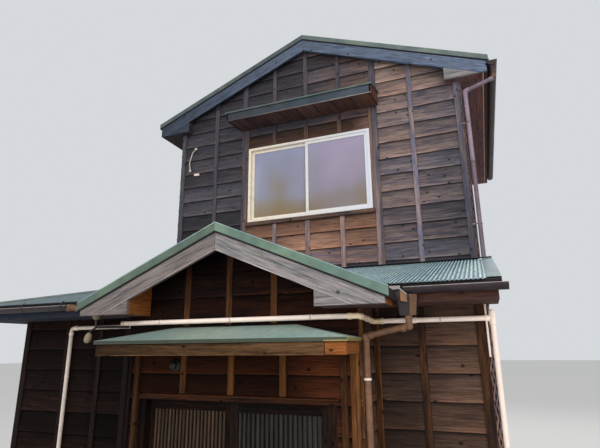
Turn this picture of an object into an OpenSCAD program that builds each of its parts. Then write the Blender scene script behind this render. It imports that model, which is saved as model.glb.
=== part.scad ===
/* [Grid] */
// Half of the timber module: the spacing of posts and battens
half_module = 455; // [420:5:480]
// Half modules across the upper storey, between the corner posts' centres
bays_across = 8; // [6:2:10]
// Half modules from the upper storey's front posts to its rear posts
bays_deep = 8; // [6:1:12]
// Half modules that the porch stands in front of the upper storey
bays_to_upper = 4; // [3:1:5]

/* [Walls] */
// Thickness of every wall
wall_t = 130; // [110:5:150]
// From a post's centre line to the outer face of its wall
face_out = 100; // [90:5:110]
// Width of the posts at each side of the doorway
post_w = 182; // [150:2:220]
// How far the ground storey's front wall stands back from the porch's front
wing_back = 455; // [400:5:520]
// Width of the wing on the left, from the upper storey's left face
left_wing_w = 965; // [900:5:1200]
// Width of a batten on the walls
batten_w = 55; // [40:5:65]
// Thickness of battens and corner boards
batten_t = 25; // [18:1:30]
// Width of a corner board
corner_w = 70; // [60:5:100]
// Width of the posts that show beside the upper window
window_post_w = 80; // [60:5:100]
// Height of the bare strip that battens leave above a roof
flash = 12; // [8:1:20]
// From the porch's side to the middle of the batten next to it
near_batten = 405; // [340:5:430]
// How far the porch's gable battens stand left of the grid
gable_shift = 35; // [0:5:60]
// Spacing of the porch's gable battens
gable_pitch = 413; // [380:1:450]

/* [Levels] */
// Height of the footings above the ground
footing_h = 150; // [120:5:200]
// Width of a footing
footing_w = 150; // [150:5:170]
// Top of the ground storey's floor slab
floor_top = 60; // [40:5:65]
// Underside of the door lintel
door_head = 1865; // [1800:5:1900]
// From the lintel's top to the underside of the lean-to eaves
wing_wall_up = 670; // [600:5:720]
// From the lean-to eaves' underside to the upper storey's walls and floor
storey_up = 250; // [200:5:280]
// Height of the upper storey's walls up to the underside of their eaves
upper_wall_h = 2495; // [2400:5:2600]
// Thickness of the upper floor
upper_floor_t = 120; // [90:5:150]
// Depth of the beams that carry the upper floor
beam_h = 230; // [180:5:240]

/* [Main roof] */
// Rise of the main roof for each unit across
main_slope = 0.4; // [0.36:0.01:0.44]
// How far the main roof passes the side walls
main_eave_out = 370; // [320:5:430]
// Upright thickness of the main roof
main_deck_t = 62; // [50:1:75]
// How far the barge boards stand out from the gable walls
main_verge = 120; // [100:5:200]
// Upright height of a barge board on the main roof
main_barge_h = 163; // [140:1:180]
// How far the boxed eave ends reach in over the wall's face
box_in = 130; // [100:5:160]
// Height of the main eaves at their outer edge, under the deck
main_box_h = 132; // [110:2:150]

/* [Porch roof] */
// Rise of the porch roof for each unit across
porch_slope = 0.43; // [0.4:0.01:0.46]
// How far the porch roof passes the porch's sides
porch_roof_out = 306; // [270:2:340]
// Upright thickness of the porch roof
porch_deck_t = 72; // [60:1:80]
// How far the porch's barge boards stand out from its front wall
porch_verge = 335; // [280:5:380]
// Upright height of a barge board on the porch
porch_barge_h = 145; // [120:1:160]
// How far the porch's boxed eave ends reach in over its wall
porch_box_in = 230; // [200:5:260]
// Height of the porch's boxed ends at their outer edge, under the deck
porch_box_h = 46; // [30:1:60]
// How much lower the porch's boxed ends reach than the lean-to eaves
porch_box_drop = 27; // [10:1:40]

/* [Lean-to roofs] */
// Rise of the lean-to roofs for each unit across
lean_slope = 0.2445; // [0.22:0.0005:0.26]
// Height of the lean-to fascias
lean_fascia_h = 114; // [100:2:130]
// Upright thickness of the lean-to roofs
lean_deck_t = 32; // [24:1:36]
// How far the front eave stands before the ground storey's wall
lean_eave_out = 455; // [400:5:500]
// How far the lean-to roof passes the right wall
lean_verge = 160; // [100:5:200]

/* [Roof edges] */
// How far the main roof's deck passes its fascias
main_edge = 25; // [15:1:40]
// How far the porch roof's deck passes its boxed ends
porch_edge = 31; // [15:1:40]
// How far the lean-to roofs' decks pass their fascias
lean_edge = 25; // [15:1:40]
// How far a deck passes its barge boards
roof_past = 10; // [5:1:20]

/* [Boards] */
// Thickness of barge boards
barge_t = 30; // [24:1:36]
// Thickness of fascia and soffit boards
trim_t = 24; // [18:1:30]
// Thickness of the metal ridge caps
cap_t = 15; // [8:1:20]
// Half width of the ridge caps
cap_half_w = 95; // [70:5:120]
// Joint left between boards that meet
joint = 2; // [1:0.5:4]

/* [Upper window] */
// Width of the window frame
window_w = 1680; // [1500:10:1700]
// Height of the window frame
window_h = 1050; // [900:10:1060]
// From the foot of the upper storey's walls to the underside of the window frame
window_up = 1038; // [980:2:1060]
// Width of the frame's members
frame_w = 34; // [25:1:45]
// Depth of the window frame
frame_d = 90; // [80:1:100]
// How far the window frame stands out from the wall
frame_out = 30; // [20:1:40]
// Width of a sash member
sash_w = 36; // [28:1:45]
// Thickness of a sash
sash_t = 28; // [22:1:32]
// From the frame's face to the outer sash
sash_in = 12; // [8:1:16]
// Air between the two sashes
sash_gap = 3; // [2:0.5:5]
// Thickness of the window glass
glass_t = 5; // [3:1:6]
// Height of the sill board under the window
sill_h = 50; // [40:1:60]
// How far the sill board stands out from the wall
sill_out = 55; // [45:1:70]
// How far the sill board passes the window at each end
sill_past = 22; // [10:1:25]

/* [Upper canopy] */
// How far the upper canopy passes the window at each end
hood_past = 148; // [110:2:170]
// How far the upper canopy stands out
hood_out = 450; // [400:5:500]
// From the window's top to the top of the upper canopy
hood_up = 493; // [470:1:510]
// Fall of the upper canopy from the wall to its front
hood_fall = 116; // [90:2:130]
// Height of the upper canopy's front below its sheet
hood_front_h = 112; // [90:1:125]
// How much lower the upper canopy's underside is at the wall
hood_back = 60; // [30:5:80]
// How far the upper canopy's sheet passes its boards
hood_trim = 18; // [10:1:25]
// How far the lower canopy's sheet passes its fascia
awning_trim = 15; // [8:1:20]
// Thickness of the sheet on a canopy
sheet_t = 18; // [10:1:22]

/* [Lower canopy] */
// How far the lower canopy passes the porch's sides
awning_side = 25; // [10:5:50]
// How far the lower canopy stands out
awning_out = 400; // [360:5:440]
// From the lintel's top to the top of the lower canopy
awning_up = 538; // [500:1:560]
// Fall of the lower canopy from the wall to its front
awning_fall = 110; // [90:2:115]
// Run of the hipped ends along the front
awning_hip = 525; // [450:5:560]
// Height of the lower canopy's fascia
awning_fascia_h = 100; // [80:1:110]
// Width of a bracket under the lower canopy
bracket_w = 45; // [35:1:60]

/* [Doors] */
// Half of the clear width of the doorway
door_half_w = 833; // [810:1:850]
// Width of a jamb
jamb_w = 45; // [35:1:50]
// Height of the lintel
lintel_h = 45; // [40:1:60]
// Thickness of a door leaf
leaf_t = 30; // [26:1:33]
// Air between the two door leaves
leaf_gap = 10; // [7:1:14]
// From the wall's face to the front leaf
leaf_back = 24; // [20:1:26]
// How far the leaves overlap at the middle
leaf_lap = 40; // [30:2:60]
// Clearance of a leaf from the frame round it
leaf_clear = 6; // [5:0.5:8]
// How far a leaf reaches up into the lintel's groove
leaf_up = 6; // [4:1:8]
// Width of a leaf's stiles
stile_w = 70; // [60:1:80]
// Height of a leaf's top rail
top_rail_h = 62; // [50:1:80]
// Height of a leaf's bottom board
kick_h = 260; // [200:5:300]
// Height of a leaf's middle rail
mid_rail_h = 50; // [40:1:60]
// Level of the middle rail
mid_rail_z = 880; // [800:5:960]
// Lattice bars in a leaf
bar_count = 18; // [14:1:20]
// Width of a lattice bar
bar_w = 17; // [14:1:20]
// Depth of a lattice bar
bar_d = 16; // [12:1:18]
// Thickness of the panel behind the bars
panel_t = 5; // [4:1:6]
// Top of the threshold
threshold_top = 72; // [70:1:90]
// How far the threshold stands out from the porch's front
threshold_out = 25; // [15:1:40]
// Height of a door rail on the threshold
rail_h = 7; // [5:1:9]
// Width of a door rail
rail_w = 6; // [5:1:8]
// Radius of a door wheel
wheel_r = 14; // [12:1:18]
// Thickness of a door wheel
wheel_t = 12; // [8:1:14]
// How far the wheels stand clear of the rail
wheel_gap = 0.3; // [0.2:0.05:0.5]
// How far the leaf's underside stands over its rail
leaf_over_rail = 7; // [6:0.5:10]

/* [Rainwater] */
// Clearance of a pipe from what it lies against
seat = 0.3; // [0.2:0.05:0.5]
// Radius of the gutter under the main roof
main_gutter_r = 58; // [50:1:65]
// Radius of the gutters under the lean-to roofs
lean_gutter_r = 48; // [42:1:52]
// Thickness of a gutter's wall
gutter_t = 4; // [3:0.5:5]
// How far a gutter passes its roof's edge
gutter_past = 20; // [10:1:20]
// How far a gutter's rim hangs below the edge of its deck
gutter_below = 8; // [6:1:12]
// Space from the left gutter's end to the porch roof
gutter_space = 445; // [300:5:500]
// Radius of a brown downpipe
downpipe_r = 24; // [20:1:28]
// Radius of the white pipe across the front
pipe_r = 20; // [16:1:24]
// How much wider a pipe's fitting is than the pipe
fitting_out = 4; // [3:0.5:6]
// Radius of an elbow's centre line
elbow_r = 34; // [30:1:50]
// How far the white pipe across the porch runs below the lean-to eaves
pipe_drop = 86; // [80:1:96]
// How much lower the white pipe runs across the wing
pipe_step = 20; // [0:1:30]
// How far the right white downpipe stands outside the wall
pipe_side = 80; // [60:1:100]
// From the left wing's corner to its white downpipe
left_pipe_in = 680; // [600:5:760]
// How far the white pipes pass the porch's left side
pipe_past = 50; // [40:5:80]
// Length of a cap on a white pipe, and half the length of a tee
cap_l = 36; // [30:2:50]
// How far pipes end above the ground
pipe_foot = 60; // [40:5:100]
// Width of the rainwater head
head_w = 140; // [110:2:150]
// Depth of the rainwater head
head_d = 84; // [70:2:90]
// Height of the rainwater head
head_h = 150; // [120:5:180]
// From the main gutter's end to its outlet
outlet_in = 40; // [30:5:60]
// Height of the outlet under the main gutter
outlet_drop = 150; // [120:5:200]
// Fall of the slanting pipe under that outlet
outlet_slant = 80; // [60:5:120]
// Height of the outlet under the rainwater head
head_outlet = 80; // [60:5:100]
// Fall of the slanting pipe under the rainwater head
head_slant = 60; // [40:5:80]
// How far the upper downpipe stands outside the wall
wall_pipe_side = 84; // [70:2:100]

/* [Hidden] */
$fn = 48;

// Plan, seen from above: x to the right of the porch's middle, y back from its front face
upper_x = bays_across / 2 * half_module + face_out;
upper_y = bays_to_upper * half_module;
rear_y = upper_y + bays_deep * half_module + 2 * face_out;
left_x = -upper_x - left_wing_w;
eave_y = wing_back - lean_eave_out;
left_eave_x = left_x - lean_eave_out;
right_verge_x = upper_x + lean_verge;
rear_verge_y = rear_y + main_verge;
main_front_y = upper_y - main_verge;
porch_front_y = -porch_verge;
inner_x = upper_x - wall_t;
jamb_x = door_half_w + jamb_w;
porch_half_w = jamb_x + post_w;
porch_roof_half_w = porch_half_w + porch_roof_out;
main_half_w = upper_x + main_eave_out;
hood_half_w = window_w / 2 + hood_past;
awning_half_w = porch_half_w + awning_side;
main_fascia_x = main_half_w - main_edge;
porch_fascia_x = porch_roof_half_w - porch_edge;
side = (footing_w - wall_t) / 2;

// Levels, each built up from the lintel over the door
lintel_z = door_head + lintel_h;
lean_box_z = lintel_z + wing_wall_up;
lean_eave_z = lean_box_z + lean_fascia_h + lean_deck_t - lean_slope * lean_edge;
lean_top_z = lean_eave_z + lean_slope * (upper_y - eave_y);
storey_z = lean_box_z + storey_up;
window_z = storey_z + window_up;
window_top = window_z + window_h;
hood_top_z = window_top + hood_up;
hood_under_z = hood_top_z - sheet_t - hood_front_h - hood_back;
main_box_z = storey_z + upper_wall_h;
main_apex = main_box_z + main_box_h + main_deck_t + main_slope * main_fascia_x;
porch_box_z = lean_box_z - porch_box_drop;
porch_apex = porch_box_z + porch_box_h + porch_deck_t + porch_slope * porch_fascia_x;
awning_top_z = lintel_z + awning_up;
awning_eave_z = awning_top_z - awning_fall;
pipe_z = lean_box_z - pipe_drop;

// Levels of roof surfaces, and of the undersides of their decks
function main_top(x) = main_apex - main_slope * abs(x);
function main_under(x) = main_top(x) - main_deck_t;
function porch_top(x) = porch_apex - porch_slope * abs(x);
function porch_under(x) = porch_top(x) - porch_deck_t;
function lean_top(y) = lean_eave_z + lean_slope * (y - eave_y);
function lean_under(y) = lean_top(y) - lean_deck_t;
function side_top(x) = lean_eave_z + lean_slope * (x - left_eave_x);
function side_under(x) = side_top(x) - lean_deck_t;
// Tops of walls and boards, which stop just short of the deck they carry
function main_seat(x) = main_under(x) - seat;
function porch_seat(x) = porch_under(x) - seat;
function lean_seat(y) = lean_under(y) - seat;
function side_seat(x) = side_under(x) - seat;
// Half width of the porch roof where it comes out of the lean-to roof at a given depth
function valley_x(y) = (porch_apex - lean_top(y)) / porch_slope;
// Where the left hip meets the upper storey's front
hip_x = left_eave_x + upper_y - eave_y;
// Top of whichever roof meets the upper storey's front
function roof_line(x) = max(min(lean_top_z, side_top(x)), porch_top(x));

// A block between two corners
module block(low, high) {
    translate(low) cube(high - low);
}

// An outline in x and z, drawn out from y0 to y1
module along_y(points, y0, y1) {
    translate([0, y1, 0]) rotate([90, 0, 0]) linear_extrude(y1 - y0) polygon(points);
}

// An outline in y and z, drawn out from x0 to x1
module along_x(points, x0, x1) {
    translate([x0, 0, 0]) rotate([90, 0, 90]) linear_extrude(x1 - x0) polygon(points);
}

// Everything over an outline in x and y, up to well above the roofs
module over_plan(points) {
    linear_extrude(main_apex) polygon(points);
}

// What is drawn, and its mirror image across the middle
module both_sides() {
    children();
    mirror([1, 0, 0]) children();
}

// A round bar between two points
module rod(a, b, r) {
    way = b - a;
    translate(a)
        rotate([0, acos(way[2] / norm(way)), atan2(way[1], way[0])])
            cylinder(r = r, h = norm(way));
}

// A pipe through a list of points, with round fittings at its bends
module pipe(points, r) {
    for (i = [0 : len(points) - 2]) rod(points[i], points[i + 1], r);
    for (i = [1 : 1 : len(points) - 2]) translate(points[i]) sphere(r + fitting_out);
}

// A square elbow whose arms reach from its corner towards -x and -y before it is turned
module elbow(corner, turn, r) {
    translate(corner) rotate(turn) translate([-elbow_r, -elbow_r, 0])
        rotate_extrude(angle = 90) translate([elbow_r, 0]) circle(r + fitting_out);
}

// Concrete strips under the walls, laid end to end with a joint between them
module footing() {
    color("#8d8a84") {
        both_sides() {
            block([jamb_x, -side, 0], [porch_half_w + side, wall_t + side, footing_h]);
            block([porch_half_w - wall_t - side, wall_t + side + joint, 0],
                [porch_half_w + side, wing_back - side - joint, footing_h]);
        }
        block([porch_half_w - wall_t - side, wing_back - side, 0],
            [upper_x + side, wing_back + wall_t + side, footing_h]);
        block([left_x - side, wing_back - side, 0],
            [-porch_half_w + wall_t + side, wing_back + wall_t + side, footing_h]);
        block([inner_x - side, wing_back + wall_t + side + joint, 0],
            [upper_x + side, rear_y - wall_t - side - joint, footing_h]);
        block([left_x - side, wing_back + wall_t + side + joint, 0],
            [left_x + wall_t + side, rear_y - wall_t - side - joint, footing_h]);
        block([left_x - side, rear_y - wall_t - side, 0], [upper_x + side, rear_y + side, footing_h]);
        block([-upper_x - side, upper_y - side, 0],
            [-inner_x + side, upper_y + wall_t + side, footing_h]);
    }
}

// Concrete slabs inside the footings, one in the porch and one in the house
module ground_floor() {
    porch_in = porch_half_w - wall_t - side;
    color("#77736b") {
        block([-porch_in, wall_t + side, 0],
            [porch_in, wing_back + wall_t + side - joint, floor_top]);
        difference() {
            block([left_x + wall_t + side, wing_back + wall_t + side, 0],
                [inner_x - side, rear_y - wall_t - side, floor_top]);
            block([-upper_x - side, upper_y - side, -1],
                [-inner_x + side, upper_y + wall_t + side, floor_top + 1]);
        }
    }
}

// Middle planes of the two tracks, the front one for the right leaf
front_track_y = leaf_back + leaf_t / 2;
rear_track_y = front_track_y + leaf_t + leaf_gap;
leaf_w = door_half_w - leaf_clear + leaf_lap / 2;
leaf_z = threshold_top + rail_h + leaf_over_rail;
leaf_top = door_head + leaf_up;

// Timber threshold with a rail for each leaf
module door_threshold() {
    color("#6b4c33") {
        block([-jamb_x, -threshold_out, 0], [jamb_x, wall_t + side, threshold_top]);
        for (y = [front_track_y, rear_track_y])
            block([-door_half_w, y - rail_w / 2, threshold_top],
                [door_half_w, y + rail_w / 2, threshold_top + rail_h]);
    }
}

// Jambs and a lintel grooved for the leaves' upper edges
module door_frame() {
    groove = leaf_t + leaf_gap;
    color("#5a4030") difference() {
        union() {
            block([-jamb_x, 0, door_head], [jamb_x, wall_t, lintel_z]);
            both_sides() block([door_half_w, 0, threshold_top], [jamb_x, wall_t, door_head]);
        }
        block([-door_half_w, front_track_y - groove / 2, door_head - 1],
            [door_half_w, rear_track_y + groove / 2, leaf_top + leaf_clear]);
    }
}

// A leaf: stiles, rails, a bottom board, upright lattice bars and two wheels
module leaf(x0, track_y) {
    x1 = x0 + leaf_w;
    front = track_y - leaf_t / 2;
    back = track_y + leaf_t / 2;
    pitch = (leaf_w - 2 * stile_w) / bar_count;
    difference() {
        block([x0, front, leaf_z], [x1, back, leaf_top]);
        block([x0 + stile_w, front - 1, leaf_z + kick_h], [x1 - stile_w, back + 1, mid_rail_z]);
        block([x0 + stile_w, front - 1, mid_rail_z + mid_rail_h],
            [x1 - stile_w, back + 1, leaf_top - top_rail_h]);
        for (x = [x0 + stile_w, x1 - stile_w])
            translate([x, track_y, leaf_z]) rotate([90, 0, 0])
                cylinder(r = wheel_r + 2, h = wheel_t + 2, center = true);
    }
    for (i = [0 : bar_count - 1])
        block([x0 + stile_w + (i + 0.5) * pitch - bar_w / 2, front, leaf_z + kick_h],
            [x0 + stile_w + (i + 0.5) * pitch + bar_w / 2, front + bar_d, leaf_top - top_rail_h]);
    for (x = [x0 + stile_w, x1 - stile_w]) {
        hub = threshold_top + rail_h + wheel_gap + wheel_r;
        translate([x, track_y, hub]) rotate([90, 0, 0])
            cylinder(r = wheel_r, h = wheel_t, center = true);
        translate([x, track_y, hub]) rotate([90, 0, 0])
            cylinder(r = 3, h = leaf_t - 4, center = true);
    }
}

// The thin panels behind a leaf's bars
module leaf_panel(x0, track_y) {
    x1 = x0 + leaf_w;
    y0 = track_y - leaf_t / 2 + bar_d;
    block([x0 + stile_w, y0, leaf_z + kick_h], [x1 - stile_w, y0 + panel_t, mid_rail_z]);
    block([x0 + stile_w, y0, mid_rail_z + mid_rail_h],
        [x1 - stile_w, y0 + panel_t, leaf_top - top_rail_h]);
}

left_leaf_x = -door_half_w + leaf_clear;
right_leaf_x = door_half_w - leaf_clear - leaf_w;

module door_left() {
    color("#8a7352") leaf(left_leaf_x, rear_track_y);
}

module door_left_panel() {
    color("#2c2a28") leaf_panel(left_leaf_x, rear_track_y);
}

module door_right() {
    color("#8a7352") leaf(right_leaf_x, front_track_y);
}

module door_right_panel() {
    color("#2c2a28") leaf_panel(right_leaf_x, front_track_y);
}

// The posts at each side of the doorway
module porch_posts() {
    color("#5d3d27") both_sides()
        block([jamb_x, 0, footing_h], [porch_half_w, wall_t, lintel_z]);
}

// The porch's front over the lintel, up into its gable
module porch_front_wall() {
    a = porch_half_w;
    z = lintel_z;
    color("#54392a") along_y([[-a, z], [a, z], [a, porch_seat(a)], [0, porch_seat(0)],
        [-a, porch_seat(a)]], 0, wall_t);
}

// The porch's short side walls
module porch_side_walls() {
    a = porch_half_w - wall_t;
    b = porch_half_w;
    color("#54392a") both_sides()
        along_y([[a, footing_h], [b, footing_h], [b, porch_seat(b)], [a, porch_seat(a)]],
            wall_t, wing_back);
}

// A wall of the ground storey's front, its top cut to the slope of the lean-to roof
module front_wall(x0, x1) {
    y0 = wing_back;
    y1 = wing_back + wall_t;
    along_x([[y0, footing_h], [y1, footing_h], [y1, lean_seat(y1)], [y0, lean_seat(y0)]], x0, x1);
}

module front_wall_left() {
    color("#4c3527") difference() {
        intersection() {
            front_wall(left_x, -porch_half_w + wall_t);
            along_y([[left_x, 0], [0, 0], [0, lean_top_z], [hip_x, side_seat(hip_x)],
                [left_x, side_seat(left_x)]], 0, upper_y);
        }
        porch_slopes(seat);
    }
}

module front_wall_right() {
    color("#4c3527") difference() {
        front_wall(porch_half_w - wall_t, upper_x);
        porch_slopes(seat);
    }
}

// The left wing's side wall, its top cut to the slope of the side lean-to roof
module left_wall() {
    a = left_x;
    b = left_x + wall_t;
    color("#4c3527") along_y([[a, footing_h], [b, footing_h], [b, side_seat(b)], [a, side_seat(a)]],
        wing_back + wall_t, rear_y - wall_t);
}

// The right wall before the upper storey, under the lean-to roof
module right_wall_front() {
    y0 = wing_back + wall_t;
    color("#4c3527") along_x([[y0, footing_h], [upper_y, footing_h],
        [upper_y, lean_seat(upper_y)], [y0, lean_seat(y0)]], inner_x, upper_x);
}

// The right wall of both storeys
module right_wall() {
    a = inner_x;
    b = upper_x;
    color("#4c3527") along_y([[a, footing_h], [b, footing_h], [b, main_seat(b)], [a, main_seat(a)]],
        upper_y + wall_t, rear_y - wall_t);
}

// The rear wall of both storeys, with its gable
module rear_wall() {
    a = upper_x;
    color("#4c3527") along_y([[-a, footing_h], [a, footing_h], [a, main_seat(a)], [0, main_seat(0)],
        [-a, main_seat(a)]], rear_y - wall_t, rear_y);
}

module rear_wall_left() {
    color("#4c3527") along_y([[left_x, footing_h], [-upper_x, footing_h],
        [-upper_x, side_seat(-upper_x)], [left_x, side_seat(left_x)]], rear_y - wall_t, rear_y);
}

// Posts under the corners of the upper storey's front
module inner_posts() {
    color("#6a4a33") both_sides()
        block([inner_x, upper_y, footing_h], [upper_x, upper_y + wall_t, storey_z]);
}

// Beams under the upper storey's front and left walls
module floor_beams() {
    color("#6a4a33") {
        block([-inner_x, upper_y, storey_z - beam_h], [inner_x, upper_y + wall_t, storey_z]);
        block([-upper_x, upper_y + wall_t + joint, storey_z - beam_h],
            [-inner_x, rear_y - wall_t, storey_z]);
    }
}

module upper_floor() {
    color("#7a5a3e") block([-inner_x, upper_y + wall_t, storey_z],
        [inner_x, rear_y - wall_t, storey_z + upper_floor_t]);
}

module wall_left_of_window() {
    color("#54392a") block([-upper_x, upper_y, storey_z], [-window_w / 2, upper_y + wall_t, window_top]);
}

module wall_right_of_window() {
    color("#54392a") block([window_w / 2, upper_y, storey_z], [upper_x, upper_y + wall_t, window_top]);
}

module wall_under_window() {
    color("#54392a") block([-window_w / 2, upper_y, storey_z], [window_w / 2, upper_y + wall_t, window_z]);
}

// The front wall over the window, up into the gable
module upper_gable_wall() {
    a = upper_x;
    color("#54392a") along_y([[-a, window_top], [a, window_top], [a, main_seat(a)],
        [0, main_seat(0)], [-a, main_seat(a)]], upper_y, upper_y + wall_t);
}

module upper_left_wall() {
    a = -upper_x;
    b = -inner_x;
    color("#4c3527") along_y([[a, storey_z], [b, storey_z], [b, main_seat(b)], [a, main_seat(a)]],
        upper_y + wall_t, rear_y - wall_t);
}

window_y = upper_y - frame_out;

// A frame of four members round an opening, w by h outside, from y0 to y0 + d
module ring(x0, z0, w, h, member, y0, d) {
    difference() {
        block([x0, y0, z0], [x0 + w, y0 + d, z0 + h]);
        block([x0 + member, y0 - 1, z0 + member], [x0 + w - member, y0 + d + 1, z0 + h - member]);
    }
}

// Outer frame of the window
module window_frame() {
    color("#e8e4da") ring(-window_w / 2, window_z, window_w, window_h, frame_w, window_y, frame_d);
}

sash_lap = sash_w / 2;
sash_low = window_z + frame_w;
sash_h = window_h - 2 * frame_w;
sash_span = window_w / 2 - frame_w + sash_lap;
outer_sash_y = window_y + sash_in;
inner_sash_y = outer_sash_y + sash_t + sash_gap;

// Two sliding sashes on their own tracks, the right one outside
module window_sashes() {
    color("#ece9e0") {
        ring(-window_w / 2 + frame_w, sash_low, sash_span, sash_h, sash_w, inner_sash_y, sash_t);
        ring(-sash_lap, sash_low, sash_span, sash_h, sash_w, outer_sash_y, sash_t);
    }
}

// One pane in each sash
module window_glass() {
    w = sash_span - 2 * sash_w;
    z0 = sash_low + sash_w;
    z1 = sash_low + sash_h - sash_w;
    color("#9aa9b5", 0.5) {
        block([-window_w / 2 + frame_w + sash_w, inner_sash_y + (sash_t - glass_t) / 2, z0],
            [-window_w / 2 + frame_w + sash_w + w, inner_sash_y + (sash_t + glass_t) / 2, z1]);
        block([-sash_lap + sash_w, outer_sash_y + (sash_t - glass_t) / 2, z0],
            [-sash_lap + sash_w + w, outer_sash_y + (sash_t + glass_t) / 2, z1]);
    }
}

module window_sill() {
    a = window_w / 2 + sill_past;
    color("#5b4534") block([-a, upper_y - sill_out, window_z - sill_h], [a, upper_y, window_z]);
}

// An upright batten on the upper storey's front
module upper_batten(x, w, z0, z1) {
    block([x - w / 2, upper_y - batten_t, z0], [x + w / 2, upper_y, z1]);
}

// Battens at each half module, broken by the window, its sill and its canopy
module upper_battens() {
    last = bays_across / 2 - 1;
    color("#4a3122") {
        for (k = [-last : last]) {
            x = k * half_module;
            w = abs(k) == 2 ? window_post_w : batten_w;
            low = roof_line(x) + flash;
            top = main_seat(abs(x) + w / 2);
            if (abs(x) - w / 2 < hood_half_w) {
                upper_batten(x, w, hood_top_z + flash, top);
                if (abs(x) - w / 2 < window_w / 2) {
                    upper_batten(x, w, window_top + flash, hood_under_z - flash);
                    upper_batten(x, w, low, window_z - sill_h);
                } else {
                    upper_batten(x, w, low, hood_under_z - flash);
                }
            } else {
                upper_batten(x, w, low, top);
            }
        }
        for (x = [-upper_x - batten_t, upper_x + batten_t - corner_w])
            block([x, upper_y - batten_t, roof_line(x + corner_w) + flash],
                [x + corner_w, upper_y, main_box_z]);
    }
}

// An upright batten on the ground storey's front walls
module wing_batten(x, w) {
    block([x - w / 2, wing_back - batten_t, footing_h], [x + w / 2, wing_back, lean_box_z]);
}

// Battens and corner boards on the porch and on the ground storey's front
module lower_battens() {
    canopy_z = awning_eave_z - sheet_t - joint;
    near_x = porch_half_w + near_batten;
    color("#4a3122") {
        for (k = [-1 : 1]) {
            x = k * gable_pitch - gable_shift;
            block([x - batten_w / 2, -batten_t, awning_top_z + flash],
                [x + batten_w / 2, 0, porch_seat(abs(x) + batten_w / 2)]);
            block([k * half_module - batten_w / 2, -batten_t, lintel_z],
                [k * half_module + batten_w / 2, 0, canopy_z]);
        }
        both_sides() block([porch_half_w - corner_w, -batten_t, footing_h],
            [porch_half_w, 0, canopy_z]);
        for (x = [near_x, -near_x, -4 * half_module, -5 * half_module])
            wing_batten(x, batten_w);
        wing_batten(upper_x + batten_t - corner_w / 2, corner_w);
        wing_batten(left_x - batten_t + corner_w / 2, corner_w);
    }
}

// Metal sheet of the upper canopy
module upper_canopy_roof() {
    y0 = upper_y - hood_out;
    z0 = hood_top_z - hood_fall;
    color("#4f6f62") along_x([[y0, z0 - sheet_t], [upper_y, hood_top_z - sheet_t],
        [upper_y, hood_top_z], [y0, z0]], -hood_half_w, hood_half_w);
}

// The boxed timber body of the upper canopy, with a sloping underside
module upper_canopy_frame() {
    a = hood_half_w - hood_trim;
    y0 = upper_y - hood_out + hood_trim;
    front_top = hood_top_z - hood_fall * (upper_y - y0) / hood_out - sheet_t;
    color("#4d3a2d") along_x([[y0, front_top - hood_front_h], [upper_y, hood_under_z],
        [upper_y, hood_top_z - sheet_t], [y0, front_top]], -a, a);
}

// Metal sheet of the lower canopy, hipped at both ends
module lower_canopy_roof() {
    a = awning_half_w;
    b = awning_half_w - awning_hip;
    low = awning_eave_z - sheet_t;
    color("#8fb3a1") intersection() {
        along_x([[-awning_out, low], [0, low], [0, awning_top_z], [-awning_out, awning_eave_z]], -a, a);
        along_y([[-a, low], [a, low], [a, awning_eave_z], [b, awning_top_z], [-b, awning_top_z],
            [-a, awning_eave_z]], -awning_out, 0);
    }
}

// Fascia, end boards and brackets of the lower canopy
module lower_canopy_frame() {
    a = awning_half_w - awning_trim;
    front = -awning_out + awning_trim;
    top = awning_eave_z - sheet_t;
    back = -batten_t - joint;
    color("#6d5a48") {
        block([-a, front, top - awning_fascia_h], [a, front + trim_t, top]);
        both_sides() block([a - trim_t, front + trim_t + joint, top - awning_fascia_h],
            [a, back, top]);
        for (k = [-1.5 : 1.5])
            block([k * half_module - bracket_w / 2, front + trim_t + joint, top - bracket_w],
                [k * half_module + bracket_w / 2, back, top]);
    }
}

// The main roof's two slopes
module main_roof() {
    a = joint / 2;
    b = main_half_w;
    y0 = main_front_y - roof_past;
    color("#47685c") both_sides()
        along_y([[a, main_under(a)], [b, main_under(b)], [b, main_top(b)], [a, main_top(a)]],
            y0, rear_verge_y + roof_past);
}

// Outline of half of a gable's barge boards, from a to b under a deck, with a panel over the box
function barge(under, slope, height, a, b, box_a, box_z) = [
    [a, under - slope * a], [b, under - slope * b], [b, box_z], [box_a, box_z],
    [box_a, under - slope * box_a - height], [a, under - slope * a - height]
];

// Barge boards at the front and at the rear of the main roof
module main_barge_boards() {
    half = barge(main_seat(0), main_slope, main_barge_h, joint / 2, main_fascia_x,
        upper_x - box_in, main_box_z);
    color("#6f6459") both_sides() {
        along_y(half, main_front_y, main_front_y + barge_t);
        along_y(half, rear_verge_y - barge_t, rear_verge_y);
    }
}

// The boxed eaves: an end box at each gable, and fascia and soffit between them
module main_eaves() {
    a = upper_x - box_in;
    b = main_fascia_x;
    c = main_fascia_x - trim_t;
    y0 = main_front_y + barge_t;
    y1 = rear_verge_y - barge_t;
    box = [[a, main_box_z], [b, main_box_z], [b, main_seat(b)], [a, main_seat(a)]];
    color("#5b3a2c") both_sides() {
        along_y(box, y0, upper_y);
        along_y(box, rear_y, y1);
        along_y([[c, main_box_z], [b, main_box_z], [b, main_seat(b)], [c, main_seat(c)]],
            upper_y + joint, rear_y - joint);
        block([upper_x, upper_y + joint, main_box_z], [c - seat, rear_y - joint, main_box_z + trim_t]);
    }
}

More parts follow.
